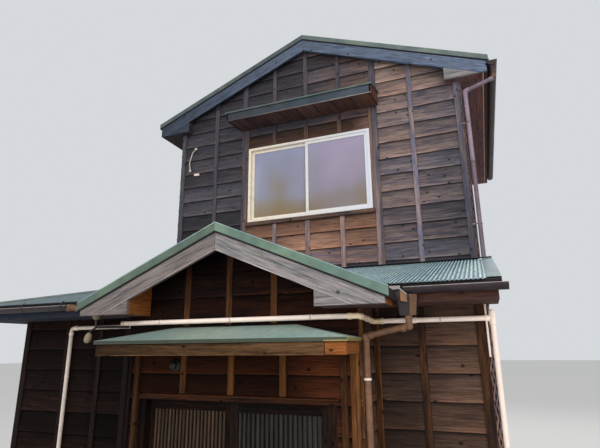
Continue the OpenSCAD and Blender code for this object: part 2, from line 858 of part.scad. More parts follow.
// The porch roof's two slopes, each cut back along its valley with the lean-to roof
module porch_slopes(extra = 0) {
    a = joint / 2;
    b = porch_roof_half_w;
    y0 = porch_front_y - roof_past;
    both_sides() intersection() {
        along_y([[a, porch_under(a) - extra], [b, porch_under(b) - extra], [b, porch_top(b)],
            [a, porch_top(a)]], y0, upper_y);
        over_plan([[a, y0], [b, y0], [b, eave_y], [valley_x(eave_y), eave_y],
            [max(valley_x(upper_y), a + 1), upper_y], [a, upper_y]]);
    }
}

module porch_roof() {
    color("#47685c") porch_slopes();
}

module porch_barge_boards() {
    half = barge(porch_seat(0), porch_slope, porch_barge_h, joint / 2, porch_fascia_x,
        porch_half_w - porch_box_in, porch_box_z);
    color("#847a6e") both_sides() along_y(half, porch_front_y, porch_front_y + barge_t);
}

// The boxed eave ends beside the porch's gable
module porch_eaves() {
    a = porch_half_w - porch_box_in;
    b = porch_fascia_x;
    c = porch_half_w;
    color("#7a5230") both_sides() {
        along_y([[a, porch_box_z], [b, porch_box_z], [b, porch_seat(b)], [a, porch_seat(a)]],
            porch_front_y + barge_t, -batten_t);
        along_y([[c, porch_box_z], [b, porch_box_z], [b, porch_seat(b)], [c, porch_seat(c)]],
            -batten_t, eave_y + lean_edge);
    }
}

// The lean-to roofs: right of the porch, left of it, and along the left side past a hip
module lean_to_roofs() {
    slope = [[eave_y, lean_under(eave_y)], [upper_y, lean_under(upper_y)], [upper_y, lean_top_z],
        [eave_y, lean_eave_z]];
    near = valley_x(eave_y) + joint;
    far = max(valley_x(upper_y), 0) + joint;
    color("#5f8a7a") {
        intersection() {
            along_x(slope, 0, right_verge_x);
            over_plan([[near, eave_y], [right_verge_x, eave_y], [right_verge_x, upper_y],
                [far, upper_y]]);
        }
        intersection() {
            along_x(slope, left_eave_x, 0);
            over_plan([[left_eave_x + joint, eave_y], [-near, eave_y], [-far, upper_y],
                [hip_x + joint, upper_y]]);
        }
        intersection() {
            along_y([[left_eave_x, side_under(left_eave_x)], [hip_x, side_under(hip_x)],
                [hip_x, lean_top_z], [left_eave_x, lean_eave_z]], eave_y, rear_y + main_verge);
            over_plan([[left_eave_x, eave_y], [hip_x, upper_y], [-upper_x, upper_y],
                [-upper_x, rear_y + main_verge], [left_eave_x, rear_y + main_verge]]);
        }
    }
}

// Fascia and soffit boards of the lean-to eaves, mitred at the left corner
module lean_to_eaves() {
    y0 = eave_y + lean_edge;
    y1 = y0 + trim_t;
    x0 = left_eave_x + lean_edge;
    x1 = x0 + trim_t;
    z0 = lean_box_z;
    z1 = lean_box_z + trim_t;
    far = right_verge_x - lean_edge;
    front = [[y0, z0], [y1, z0], [y1, lean_seat(y1)], [y0, lean_seat(y0)]];
    left = [[x0, z0], [x1, z0], [x1, side_seat(x1)], [x0, side_seat(x0)]];
    color("#4d3630") {
        difference() {
            union() {
                along_x(front, porch_half_w, far);
                intersection() {
                    along_x(front, x0, -porch_half_w);
                    over_plan([[x0 + joint, y0], [0, y0], [0, y1], [x1 + joint, y1]]);
                }
            }
            porch_slopes(seat);
        }
        block([porch_half_w, y1 + seat, z0], [far, wing_back, z1]);
        intersection() {
            block([x0, y1 + seat, z0], [-porch_half_w, wing_back, z1]);
            over_plan([[x0 + joint, y0], [0, y0], [0, wing_back], [left_x + joint, wing_back]]);
        }
        intersection() {
            along_y(left, y0, rear_y);
            over_plan([[x0, y0], [x1, y1], [x1, rear_y], [x0, rear_y]]);
        }
        intersection() {
            block([x1 + seat, y0, z0], [left_x, rear_y, z1]);
            over_plan([[x0, y0], [left_x, wing_back], [left_x, rear_y], [x0, rear_y]]);
        }
    }
}

// An angled metal cap over a ridge, drawn along y
module cap_along_y(apex, slope, y0, y1) {
    w = cap_half_w;
    along_y([[-w, apex - slope * w], [0, apex], [w, apex - slope * w],
        [w, apex - slope * w + cap_t], [0, apex + cap_t], [-w, apex - slope * w + cap_t]], y0, y1);
}

// Caps over the ridges
module ridge_caps() {
    color("#3f5d52") {
        cap_along_y(main_apex, main_slope, main_front_y - roof_past, rear_verge_y + roof_past);
        cap_along_y(porch_apex, porch_slope, porch_front_y - roof_past, upper_y - batten_t - joint);
    }
}

// A half-round gutter drawn along x from a to b, its rim at z = 0
module gutter(r, length) {
    rotate([90, 0, 90]) {
        linear_extrude(length) intersection() {
            difference() {
                circle(r);
                circle(r - gutter_t);
            }
            translate([-r, -r]) square([2 * r, r]);
        }
        for (end = [0, length - gutter_t])
            translate([0, 0, end]) linear_extrude(gutter_t) intersection() {
                circle(r - gutter_t / 2);
                translate([-r, -r]) square([2 * r, r]);
            }
    }
}

main_gutter_z = main_under(main_half_w) - gutter_below;
main_gutter_x = main_fascia_x + main_gutter_r;
lean_gutter_z = lean_eave_z - lean_deck_t - gutter_below / 2;
lean_gutter_y = eave_y + lean_edge - lean_gutter_r;
lean_gutter_end = right_verge_x + 2 * gutter_past;
head_x = porch_roof_half_w + head_w / 2 + joint;
head_z = lean_gutter_z - lean_gutter_r;

// Gutters under the right main eave and the lean-to eaves
module gutters() {
    color("#5a4038") {
        translate([main_gutter_x, main_front_y - gutter_past, main_gutter_z])
            rotate([0, 0, 90])
                gutter(main_gutter_r, rear_verge_y - main_front_y + 2 * gutter_past);
        translate([head_x - gutter_past, lean_gutter_y, lean_gutter_z])
            gutter(lean_gutter_r, lean_gutter_end - head_x + gutter_past);
        translate([left_eave_x - gutter_past, lean_gutter_y, lean_gutter_z])
            gutter(lean_gutter_r, -porch_roof_half_w - gutter_space - left_eave_x + gutter_past);
    }
}

// Brown downpipes: from the main gutter at the right corner, and from the rainwater head
module downpipes() {
    outlet_z = main_gutter_z - main_gutter_r - seat;
    outlet_y = main_front_y - gutter_past + outlet_in;
    wall_pipe_y = outlet_y + outlet_in;
    wall_pipe_x = upper_x + wall_pipe_side;
    bend_z = outlet_z - outlet_drop;
    corner_x = awning_half_w + downpipe_r + fitting_out + joint;
    head_foot = head_z - head_h;
    head_bend = head_foot - head_outlet;
    color("#6b4a3c") {
        pipe([[main_gutter_x, outlet_y, outlet_z], [main_gutter_x, outlet_y, bend_z],
            [wall_pipe_x, wall_pipe_y, bend_z - outlet_slant],
            [wall_pipe_x, wall_pipe_y, lean_top(wall_pipe_y) + downpipe_r]], downpipe_r);
        translate([head_x, lean_gutter_y, 0])
            block([-head_w / 2, -head_d / 2, head_foot], [head_w / 2, head_d / 2, head_z - seat]);
        pipe([[head_x, lean_gutter_y, head_foot + 1], [head_x, lean_gutter_y, head_bend],
            [corner_x, 0, head_bend - head_slant], [corner_x, 0, pipe_foot]], downpipe_r);
    }
}

// The white pipe across the front with its downpipe, and the left wing's white downpipe
module white_pipes() {
    porch_y = -batten_t - pipe_r - seat;
    wing_y = wing_back - batten_t - pipe_r - seat;
    turn_x = porch_half_w + pipe_r + fitting_out + seat;
    right_x = upper_x + pipe_side;
    left_pipe_x = left_x + left_pipe_in;
    low_z = pipe_z - pipe_step;
    cap_x = -porch_half_w - pipe_past;
    into = elbow_r - fitting_out;
    fitting_r = pipe_r + fitting_out;
    color("#e9e4d6") {
        rod([cap_x, porch_y, pipe_z], [turn_x - elbow_r, porch_y, pipe_z], pipe_r);
        rod([cap_x - cap_l / 3, porch_y, pipe_z], [cap_x + cap_l * 2 / 3, porch_y, pipe_z],
            fitting_r);
        elbow([turn_x, porch_y, pipe_z], [180, 0, 0], pipe_r);
        rod([turn_x, porch_y + into, pipe_z], [turn_x, wing_y - into, low_z], pipe_r);
        elbow([turn_x, wing_y, low_z], [0, 180, 0], pipe_r);
        rod([turn_x + elbow_r, wing_y, low_z], [right_x, wing_y, low_z], pipe_r);
        rod([right_x - cap_l, wing_y, low_z], [right_x, wing_y, low_z], pipe_r + fitting_out / 2);
        rod([right_x, wing_y, pipe_foot], [right_x, wing_y, lean_box_z - 2 * pipe_r], pipe_r);
        rod([right_x, wing_y, low_z - cap_l], [right_x, wing_y, low_z + cap_l], fitting_r);
        rod([cap_x, wing_y, pipe_z], [left_pipe_x + elbow_r, wing_y, pipe_z], pipe_r);
        elbow([left_pipe_x, wing_y, pipe_z], [90, 0, 180], pipe_r);
        rod([left_pipe_x, wing_y, pipe_foot], [left_pipe_x, wing_y, pipe_z - elbow_r], pipe_r);
    }
}

footing();
ground_floor();
door_threshold();
door_frame();
door_left();
door_left_panel();
door_right();
door_right_panel();
porch_posts();
porch_front_wall();
porch_side_walls();
front_wall_left();
front_wall_right();
left_wall();
right_wall_front();
right_wall();
rear_wall();
rear_wall_left();
inner_posts();
floor_beams();
upper_floor();
wall_left_of_window();
wall_right_of_window();
wall_under_window();
upper_gable_wall();
upper_left_wall();
window_frame();
window_sashes();
window_glass();
window_sill();
upper_battens();
lower_battens();
upper_canopy_roof();
upper_canopy_frame();
lower_canopy_roof();
lower_canopy_frame();
main_roof();
main_barge_boards();
main_eaves();
porch_roof();
porch_barge_boards();
porch_eaves();
lean_to_roofs();
lean_to_eaves();
ridge_caps();
gutters();
downpipes();
white_pipes();
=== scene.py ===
import math
import random

import bmesh
import bpy
from bpy.props import FloatProperty, FloatVectorProperty, IntProperty, PointerProperty
from mathutils import Matrix, Vector


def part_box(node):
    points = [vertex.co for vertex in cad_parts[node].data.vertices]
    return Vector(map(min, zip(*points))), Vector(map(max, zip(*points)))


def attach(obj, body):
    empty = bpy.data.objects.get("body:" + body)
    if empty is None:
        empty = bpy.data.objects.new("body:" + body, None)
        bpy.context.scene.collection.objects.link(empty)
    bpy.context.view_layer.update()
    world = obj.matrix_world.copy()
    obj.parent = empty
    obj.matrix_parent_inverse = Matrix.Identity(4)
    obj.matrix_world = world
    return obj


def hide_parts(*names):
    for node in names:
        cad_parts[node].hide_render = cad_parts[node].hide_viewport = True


bl_info = {
    "name": "Timber Townhouse",
    "version": (1, 0, 0),
    "blender": (4, 5, 0),
    "location": "View3D > Sidebar > Townhouse",
    "description": "Boards, battens, sheet roofs, doors and pipes of an old timber townhouse",
    "category": "Object",
}

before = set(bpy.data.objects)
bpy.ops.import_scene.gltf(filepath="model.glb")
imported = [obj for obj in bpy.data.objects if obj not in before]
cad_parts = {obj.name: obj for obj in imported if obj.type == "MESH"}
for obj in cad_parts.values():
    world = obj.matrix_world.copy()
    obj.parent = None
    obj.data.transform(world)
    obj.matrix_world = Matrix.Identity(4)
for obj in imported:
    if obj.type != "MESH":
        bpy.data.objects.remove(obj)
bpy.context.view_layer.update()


def low(node):
    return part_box(node)[0]


def high(node):
    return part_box(node)[1]


# Places that the boards and sheets are set out from, in metres
UPPER_X = high("right_wall").x
UPPER_Y = low("upper_gable_wall").y
REAR_Y = high("rear_wall").y
LEFT_X = low("left_wall").x
PORCH_X = high("porch_posts").x
WING_Y = low("front_wall_right").y
FOOT_Z = high("footing").z
LINTEL_Z = high("door_frame").z
WING_EAVE_Z = low("lean_to_eaves").z
MAIN_EAVE_Z = low("main_eaves").z
LEAN_X0, LEAN_X1 = low("lean_to_roofs").x, high("lean_to_roofs").x
LEAN_Y0, LEAN_TOP_Z = low("lean_to_roofs").y, high("lean_to_roofs").z
MAIN_Y0, MAIN_Y1 = low("main_roof").y, high("main_roof").y
MAIN_X1, MAIN_TOP_Z = high("main_roof").x, high("main_roof").z
PORCH_Y0, PORCH_TOP_Z = low("porch_roof").y, high("porch_roof").z
PORCH_ROOF_X = high("porch_roof").x
MAIN_SLOPE, PORCH_SLOPE, LEAN_SLOPE = 0.4, 0.43, 0.2445
MAIN_DECK, PORCH_DECK, LEAN_DECK = 0.062, 0.072, 0.032
LEAN_EAVE_Z = LEAN_TOP_Z - LEAN_SLOPE * (UPPER_Y - LEAN_Y0)
HIP_X = LEAN_X0 + UPPER_Y - LEAN_Y0
# The left lean-to roof starts clear of the upper boards, and its verge passes the rear wall
SIDE_ROOF_X, REAR_VERGE_Y = -UPPER_X - 0.016, REAR_Y + 0.12
MODULE = 0.455
X, Y, Z = Vector((1, 0, 0)), Vector((0, 1, 0)), Vector((0, 0, 1))


def main_top(x):
    return MAIN_TOP_Z - MAIN_SLOPE * abs(x)


def porch_top(x):
    return PORCH_TOP_Z - PORCH_SLOPE * abs(x)


def lean_top(y):
    return LEAN_EAVE_Z + LEAN_SLOPE * (y - LEAN_Y0)


def side_top(x):
    return LEAN_EAVE_Z + LEAN_SLOPE * (x - LEAN_X0)


def valley_x(y):
    return (PORCH_TOP_Z - lean_top(y)) / PORCH_SLOPE


def linear(code):
    """Turns an sRGB hex colour into the linear colour that the shaders use."""
    parts = [int(code[i:i + 2], 16) / 255 for i in (1, 3, 5)]
    return tuple(c / 12.92 if c <= 0.04045 else ((c + 0.055) / 1.055) ** 2.4 for c in parts)


def colour(code, name, text):
    return FloatVectorProperty(name=name, description=text, subtype="COLOR", size=3, min=0, max=1,
                               default=linear(code))


def length(metres, name, text):
    return FloatProperty(name=name, description=text, default=metres, min=0.0005, unit="LENGTH",
                         subtype="DISTANCE", precision=4)


class TownhouseSizes(bpy.types.PropertyGroup):
    board_pitch: length(0.209, "Board pitch", "Height that each lapped board shows")
    board_proud: length(0.015, "Board lower edge", "How far a board's lower edge stands off the wall")
    board_back: length(0.004, "Board upper edge", "How far a board stands off the wall under its neighbour")
    batten_w: length(0.055, "Batten width", "Width of the battens on the side and rear walls")
    batten_t: length(0.025, "Batten thickness", "Thickness of the battens on the side and rear walls")
    tooth: length(0.022, "Batten teeth", "Swing of the notched corner battens' edges")
    wave: length(0.0318, "Corrugation", "Spacing of the waves in the roof sheets")
    wave_h: length(0.010, "Corrugation depth", "Height of a wave from trough to crest")
    bar_w: length(0.017, "Lattice bar width", "Width of a bar in the door lattice")
    bar_d: length(0.016, "Lattice bar depth", "Depth of a bar in the door lattice")
    bar_count: IntProperty(name="Lattice bars", description="Bars in each door leaf", default=18, min=4)
    nail_r: length(0.0035, "Nail head", "Radius of a nail head")


class TownhouseColours(bpy.types.PropertyGroup):
    # the upper boards' purple-grey is partly the cedar's own grey and partly a painted cool shade
    wall: colour("#4f4b54", "Upper boards", "Sun-bleached dark cedar on the upper storey")
    wall_warm: colour("#7a6154", "Washed upper boards", "Bare wood where rain washes the upper boards")
    wing: colour("#40322d", "Lower boards", "Dark cedar under the lean-to eaves")
    wing_warm: colour("#5c4232", "Worn lower boards", "Redder wood of the lower boards")
    # the porch boards, which also clad the left wing, are darkened with painted shade
    porch: colour("#211613", "Porch boards", "Dark cedar under the porch roof")
    porch_warm: colour("#452313", "Worn porch boards", "Red-brown wood near the door")
    batten: colour("#55525e", "Battens", "Silvered battens of the upper storey")
    batten_warm: colour("#80604d", "Washed battens", "Bare wood of battens under the window")
    low_batten: colour("#33241f", "Lower battens", "Dark battens of the ground storey")
    low_batten_warm: colour("#6a4220", "Worn lower battens", "Ochre wood of the battens by the door")
    barge: colour("#7b797a", "Porch barge boards", "Silvered barge boards of the porch")
    # the main barge boards' blue is a painted cool shade over their weathered grey
    main_barge: colour("#2f394c", "Main barge boards", "Blue-grey weathered barge boards of the main roof")
    eave: colour("#3b3036", "Eave boards", "Dark stained boards of the eaves")
    roof: colour("#52695a", "Roof sheet", "Green painted flashings")
    verge: colour("#576460", "Main verge sheet", "Olive-green flashing of the main roof")
    flat: colour("#7a8e90", "Flat flashings", "Pale green flat sheet in valleys and over edges")
    lean: colour("#c2dde0", "Lean-to sheet", "Faded green corrugated sheet")
    canopy: colour("#92a599", "Canopy sheet", "Pale green sheet over the door")
    gutter: colour("#2d2226", "Gutters", "Faded brown plastic")
    pipe: colour("#e4d2c6", "White pipes", "Off-white plastic")
    window: colour("#e0d4c0", "Window frame", "Cream coated aluminium")
    lattice: colour("#38291a", "Left lattice", "Ochre lattice bars of the left leaf")
    lattice_dark: colour("#221f19", "Right lattice", "Greyed lattice bars of the right leaf")


def sizes():
    return bpy.context.scene.townhouse_sizes


def colours():
    return bpy.context.scene.townhouse_colours


# Materials

def wire(tree, node, inputs):
    """Sets a node's inputs, or links them from a socket or from another node's first output."""
    for name, value in inputs.items():
        if isinstance(value, bpy.types.Node):
            value = value.outputs[0]
        if isinstance(value, bpy.types.NodeSocket):
            tree.links.new(value, node.inputs[name])
        else:
            node.inputs[name].default_value = value


def add(tree, kind, inputs=None, stops=None, **settings):
    """Adds a node with its settings, its inputs and the stops of its colour ramp."""
    node = tree.nodes.new(kind)
    for name, value in settings.items():
        setattr(node, name, value)
    wire(tree, node, inputs or {})
    if stops:
        ends = node.color_ramp.elements
        while len(ends) < len(stops):
            ends.new(1)
        for end, (place, shade) in zip(ends, stops):
            end.position = place
            end.color = shade if len(shade) == 4 else (*shade, 1)
    return node


def new_material(name, **shader):
    """A material with one Principled shader; what is uniform is set on the shader's own sockets."""
    made = bpy.data.materials.new(name)
    made.use_nodes = True
    tree = made.node_tree
    body = tree.nodes["Principled BSDF"]
    wire(tree, body, {socket.replace("_", " "): value for socket, value in shader.items()})
    return made, tree, body


def surface(tree, body, shade, matt=None, height=None, depth=0.001, strength=0.3):
    """Gives a shader its colour, and its roughness and bumps where they vary over the surface."""
    wire(tree, body, {"Base Color": shade})
    if matt:
        wire(tree, body, {"Roughness": matt})
    if height:
        bump = add(tree, "ShaderNodeBump", {"Height": height, "Distance": depth, "Strength": strength})
        wire(tree, body, {"Normal": bump})


def own_tone(tree, base, factor):
    """A colour times a factor and the piece's own tone, where a tone of 0.5 changes nothing."""
    own = add(tree, "ShaderNodeAttribute", attribute_name="tone").outputs["Fac"]
    lit = add(tree, "ShaderNodeMath", {0: own, 1: 0.5})
    lit = add(tree, "ShaderNodeMath", {0: lit, 1: factor}, operation="MULTIPLY")
    return add(tree, "ShaderNodeVectorMath", {0: base, 3: lit}, operation="SCALE")


def tint(shade, factor, shift=(1, 1, 1)):
    return tuple(min(1, c * factor * s) for c, s in zip(shade, shift))


def timber(name, shade, warm=None, silver=0.3, contrast=1.0, lap=False, rough=0.82, knots=True, plank=0.0,
           gloss=0.25):
    """Sawn softwood that has stood in the weather: dark soft grain worn out between pale hard grain,
    silvered where the sun reaches it and redder where rain keeps it clean, with knots and stains. The
    grain attribute runs along each board; warmth says how red a board is, and rise where on a lapped
    board a point lies, from its rain-cleaned lower edge, which carries a painted highlight, up into the
    painted shadow of the next."""
    made, tree, body = new_material(name, Roughness=rough, IOR=1.5, Specular_IOR_Level=gloss)
    grain = add(tree, "ShaderNodeAttribute", attribute_name="grain").outputs["Vector"]
    tone = add(tree, "ShaderNodeAttribute", attribute_name="tone").outputs["Fac"]
    # knots every 0.35 m or so, about 25 mm across, which push the grain aside
    spot_at = add(tree, "ShaderNodeMapping", {"Vector": grain, "Scale": (2.9, 3.9, 4.0)})
    spot = add(tree, "ShaderNodeTexVoronoi", {"Vector": spot_at, "Scale": 1.0, "Randomness": 1.0},
               voronoi_dimensions="2D")
    knot = add(tree, "ShaderNodeMapRange", {
        "Value": spot, "From Min": 0.04, "From Max": 0.14, "To Min": 1.0, "To Max": 0.0})
    bend = add(tree, "ShaderNodeVectorMath", {0: (0.0, 0.012, 0.0), 3: knot}, operation="SCALE")
    path = add(tree, "ShaderNodeVectorMath", {0: grain, 1: bend})
    # hard grain: streaks about 13 mm wide and 300 mm long
    streak_at = add(tree, "ShaderNodeMapping", {"Vector": path, "Scale": (3.4, 78.0, 60.0)})
    streak = add(tree, "ShaderNodeTexNoise", {
        "Vector": streak_at, "Scale": 1.0, "Detail": 7.0, "Roughness": 0.7, "Distortion": 0.35})
    # fine grain: about 4 mm wide
    fine_at = add(tree, "ShaderNodeMapping", {"Vector": path, "Scale": (9.0, 260.0, 120.0)})
    fine = add(tree, "ShaderNodeTexNoise", {"Vector": fine_at, "Scale": 1.0, "Detail": 3.0})
    # weathered streaks about 0.4 m long and 40 mm high
    patch_at = add(tree, "ShaderNodeMapping", {"Vector": grain, "Scale": (2.5, 23.0, 5.0)})
    patch = add(tree, "ShaderNodeTexNoise", {
        "Vector": patch_at, "Scale": 1.0, "Detail": 6.0, "Roughness": 0.62})
    both = add(tree, "ShaderNodeMix", {0: 0.4, 2: streak, 3: fine})
    spread = 0.16 / contrast

    def grades(hue):
        return ((0.5 - spread, tint(hue, 0.26)), (0.5 - spread * 0.25, tint(hue, 0.78)),
                (0.5 + spread * 0.35, tint(hue, 1.18)),
                (0.5 + spread * 1.2, tint(hue, 2.0, (1.0, 0.96, 0.92))))

    wood = add(tree, "ShaderNodeValToRGB", {"Fac": both}, stops=grades(shade)).outputs[0]
    if warm is not None:
        redder = add(tree, "ShaderNodeValToRGB", {"Fac": both}, stops=grades(warm))
        warmth = add(tree, "ShaderNodeAttribute", attribute_name="warmth").outputs["Fac"]
        drift = add(tree, "ShaderNodeMapRange", {
            "Value": patch, "From Min": 0.36, "From Max": 0.64, "To Min": -0.45, "To Max": 0.45})
        share = add(tree, "ShaderNodeMath", {0: warmth, 1: drift}, use_clamp=True)
        wood = add(tree, "ShaderNodeMix", {0: share, 6: wood, 7: redder}, data_type="RGBA").outputs[2]
    # silver-grey wood, a little short of green
    grey = sum(shade) / 3
    ash = add(tree, "ShaderNodeMapRange", {
        "Value": patch, "From Min": 0.46, "From Max": 0.74, "To Min": 0.0, "To Max": silver * 2})
    last = add(tree, "ShaderNodeMix", {0: ash, 6: wood, 7: (grey * 1.9, grey * 1.84, grey * 1.88, 1)},
               data_type="RGBA").outputs[2]
    # each board's tone, from dark to pale, which also carries the painted light and shade given by its place,
    # then damp streaks
    factors = [add(tree, "ShaderNodeMapRange", {
        "Value": tone, "From Min": -0.3, "From Max": 2.0, "To Min": 0.2, "To Max": 2.5})]
    factors.append(add(tree, "ShaderNodeMapRange", {
        "Value": patch, "From Min": 0.28, "From Max": 0.44, "To Min": 0.72, "To Max": 1.0}))
    if knots:
        factors.append(add(tree, "ShaderNodeMapRange", {
            "Value": spot, "From Min": 0.03, "From Max": 0.065, "To Min": 0.22, "To Max": 1.0}))
    if plank:
        # joints about 3 mm wide between planks laid side by side
        split = add(tree, "ShaderNodeSeparateXYZ", {0: grain})
        step = add(tree, "ShaderNodeMath", {0: split.outputs["Y"], 1: plank / 2}, operation="PINGPONG")
        factors.append(add(tree, "ShaderNodeMapRange", {
            "Value": step, "From Min": 0.0015, "From Max": 0.006, "To Min": 0.45, "To Max": 1.0}))
    for factor in factors:
        last = add(tree, "ShaderNodeVectorMath", {0: last, 3: factor}, operation="SCALE")
    if lap:
        # along each board's lower edge paler wood that rain keeps clean, with a painted highlight on it;
        # under the next board soot and a painted shadow
        rise = add(tree, "ShaderNodeAttribute", attribute_name="rise").outputs["Fac"]
        lap_light_and_shade = add(tree, "ShaderNodeValToRGB", {"Fac": rise}, stops=(
            (0.0, (0.5, 0.5, 0.5)), (0.025, (1.9, 1.72, 1.62)), (0.09, (1.36, 1.28, 1.24)),
            (0.28, (1.08, 1.06, 1.05)), (0.65, (0.92, 0.92, 0.93)), (0.87, (0.7, 0.71, 0.74)),
            (0.95, (0.34, 0.35, 0.38)), (1.0, (0.12, 0.12, 0.14))))
        last = add(tree, "ShaderNodeVectorMath", {0: last, 1: lap_light_and_shade}, operation="MULTIPLY")
    surface(tree, body, last, height=both, depth=0.004, strength=0.6 * contrast)
    return made


def painted_sheet(name, shade, chalk=0.25, dirt=0.4, along="x", wavy=False):
    """Galvanised steel sheet with old alkyd paint: chalky, faintly uneven, with dirt run down the slope by
    rain, dirt and painted shade in the troughs of the waves, a painted highlight on their tops, and specks
    of rust where the paint has gone."""
    made, tree, body = new_material(name, Roughness=0.42, IOR=1.5, Specular_IOR_Level=0.5)
    at = add(tree, "ShaderNodeTexCoord").outputs["Object"]
    # chalking in patches about 0.5 m across
    cloud = add(tree, "ShaderNodeTexNoise", {"Vector": at, "Scale": 2.0, "Detail": 3.0, "Roughness": 0.5})
    # runs about 20 mm wide down the slope, or blots of 0.1 m on sheet that lies any way
    stretch = {"x": (2.0, 45.0, 45.0), "y": (45.0, 2.0, 45.0), "none": (9.0, 9.0, 9.0)}[along]
    run_at = add(tree, "ShaderNodeMapping", {"Vector": at, "Scale": stretch})
    run = add(tree, "ShaderNodeTexNoise", {"Vector": run_at, "Scale": 1.0, "Detail": 4.0})
    base = add(tree, "ShaderNodeValToRGB", {"Fac": cloud}, stops=(
        (0.3, tint(shade, 0.9, (0.9, 0.98, 1.1))), (0.45, tint(shade, 0.98, (0.95, 1.0, 1.05))),
        (0.55, shade), (0.7, tint(shade, 1.0 + chalk, (1.1, 1.02, 0.95)))))
    grime = add(tree, "ShaderNodeMapRange", {
        "Value": run, "From Min": 0.32, "From Max": 0.6, "To Min": 1.0 - dirt, "To Max": 1.05})
    last = own_tone(tree, base, grime)
    # painted shade in the troughs of the waves and a painted highlight on their tops, one flank lighter than
    # the other
    if wavy:
        wave_light = add(tree, "ShaderNodeAttribute", attribute_name="wave_light").outputs["Fac"]
        wave_shading = add(tree, "ShaderNodeValToRGB", {"Fac": wave_light}, stops=(
            (0.0, (0.1, 0.13, 0.14)), (0.35, (0.32, 0.36, 0.37)), (0.7, (0.98, 0.98, 0.98)),
            (1.0, (1.4, 1.38, 1.34))))
        last = add(tree, "ShaderNodeVectorMath", {0: last, 1: wave_shading}, operation="MULTIPLY")
    # rust specks 5 to 15 mm across, in a few places
    speck = add(tree, "ShaderNodeTexNoise", {"Vector": at, "Scale": 70.0, "Detail": 3.0})
    lump = add(tree, "ShaderNodeTexNoise", {"Vector": at, "Scale": 1.7, "Detail": 2.0})
    hit = add(tree, "ShaderNodeMath", {0: speck, 1: lump}, operation="MULTIPLY")
    rust = add(tree, "ShaderNodeMapRange", {"Value": hit, "From Min": 0.42, "From Max": 0.46})
    final = add(tree, "ShaderNodeMix", {0: rust, 6: last, 7: (*linear("#5d4438"), 1)}, data_type="RGBA")
    matt = add(tree, "ShaderNodeMapRange", {"Value": cloud, "To Min": 0.36, "To Max": 0.58})
    surface(tree, body, final.outputs[2], matt, run, depth=0.001, strength=0.2)
    return made


def old_plastic(name, shade, fade=0.3, grime=0.2):
    """Extruded PVC that has lain in the sun: its gloss has gone in patches and grime sits in streaks."""
    made, tree, body = new_material(name, IOR=1.53, Specular_IOR_Level=0.25)
    at = add(tree, "ShaderNodeTexCoord").outputs["Object"]
    # bleached patches about 0.2 m across, with stains about 40 mm wide
    cloud = add(tree, "ShaderNodeTexNoise", {"Vector": at, "Scale": 4.5, "Detail": 6.0, "Roughness": 0.65})
    stain = add(tree, "ShaderNodeTexNoise", {"Vector": at, "Scale": 26.0, "Detail": 3.0})
    base = add(tree, "ShaderNodeValToRGB", {"Fac": cloud}, stops=(
        (0.32, tint(shade, 1 - grime)), (0.5, shade), (0.66, tint(shade, 1 + fade, (1.0, 0.98, 0.94)))))
    dull = add(tree, "ShaderNodeMapRange", {
        "Value": stain, "From Min": 0.36, "From Max": 0.55, "To Min": 1 - grime, "To Max": 1.0})
    matt = add(tree, "ShaderNodeMapRange", {"Value": cloud, "To Min": 0.28, "To Max": 0.65})
    surface(tree, body, own_tone(tree, base, dull), matt)
    return made


def coated_aluminium(name, shade):
    """Extruded aluminium with a baked cream coat: satin, with fine grey grime in its corners."""
    made, tree, body = new_material(name, Roughness=0.35, IOR=1.5, Coat_Weight=0.15)
    at = add(tree, "ShaderNodeTexCoord").outputs["Object"]
    # grime in patches about 60 mm across
    grime = add(tree, "ShaderNodeTexNoise", {"Vector": at, "Scale": 16.0, "Detail": 6.0})
    base = add(tree, "ShaderNodeValToRGB", {"Fac": grime}, stops=(
        (0.3, tint(shade, 0.86, (1.0, 0.98, 0.95))), (0.48, shade), (0.8, tint(shade, 1.06))))
    # painted sky light: the coat turns a cooler white towards the right side
    place = add(tree, "ShaderNodeSeparateXYZ", {0: at})
    side = add(tree, "ShaderNodeMapRange", {
        "Value": place.outputs["X"], "From Min": -0.7, "From Max": 0.8, "To Max": 0.85})
    final = add(tree, "ShaderNodeMix", {0: side, 6: base, 7: (*linear("#ccd0dc"), 1)}, data_type="RGBA")
    surface(tree, body, final.outputs[2], height=grime, depth=0.0006, strength=0.3)
    return made


def frosted_pane(name):
    """Old window glass whose colour is a painted reflection: cool sky above, warm and darker foliage low
    down, a little pink at the right."""
    made, tree, body = new_material(name, Roughness=0.2, IOR=1.52, Coat_Weight=0.5, Coat_Roughness=0.04)
    at = add(tree, "ShaderNodeTexCoord").outputs["Object"]
    place = add(tree, "ShaderNodeSeparateXYZ", {0: at})
    # painted reflection in drifts about 0.4 m across
    drift = add(tree, "ShaderNodeTexNoise", {"Vector": at, "Scale": 2.0, "Detail": 1.0})
    rise = add(tree, "ShaderNodeMapRange", {
        "Value": place.outputs["Z"], "From Min": low("window_glass").z,
        "From Max": high("window_glass").z, "To Max": 0.6})
    moved = add(tree, "ShaderNodeMath", {0: drift, 1: 0.6, 2: rise}, operation="MULTIPLY_ADD")
    cool = add(tree, "ShaderNodeValToRGB", {"Fac": moved}, stops=(
        (0.38, linear("#7a6644")), (0.5, linear("#7d7160")), (0.62, linear("#7f7f8e")),
        (0.9, linear("#878ba8"))))
    pink = add(tree, "ShaderNodeValToRGB", {"Fac": moved}, stops=(
        (0.3, linear("#7a6c5c")), (0.42, linear("#7f7478")), (0.54, linear("#887e8e")),
        (0.85, linear("#968ba2"))))
    side = add(tree, "ShaderNodeMapRange", {
        "Value": place.outputs["X"], "From Min": -0.25, "From Max": 0.35})
    base = add(tree, "ShaderNodeMix", {0: side, 6: cool, 7: pink}, data_type="RGBA")
    # the figure of the glass: dimples about 4 mm across
    figure = add(tree, "ShaderNodeTexVoronoi", {"Vector": at, "Scale": 240.0})
    surface(tree, body, base.outputs[2], height=figure, depth=0.0006, strength=0.12)
    return made


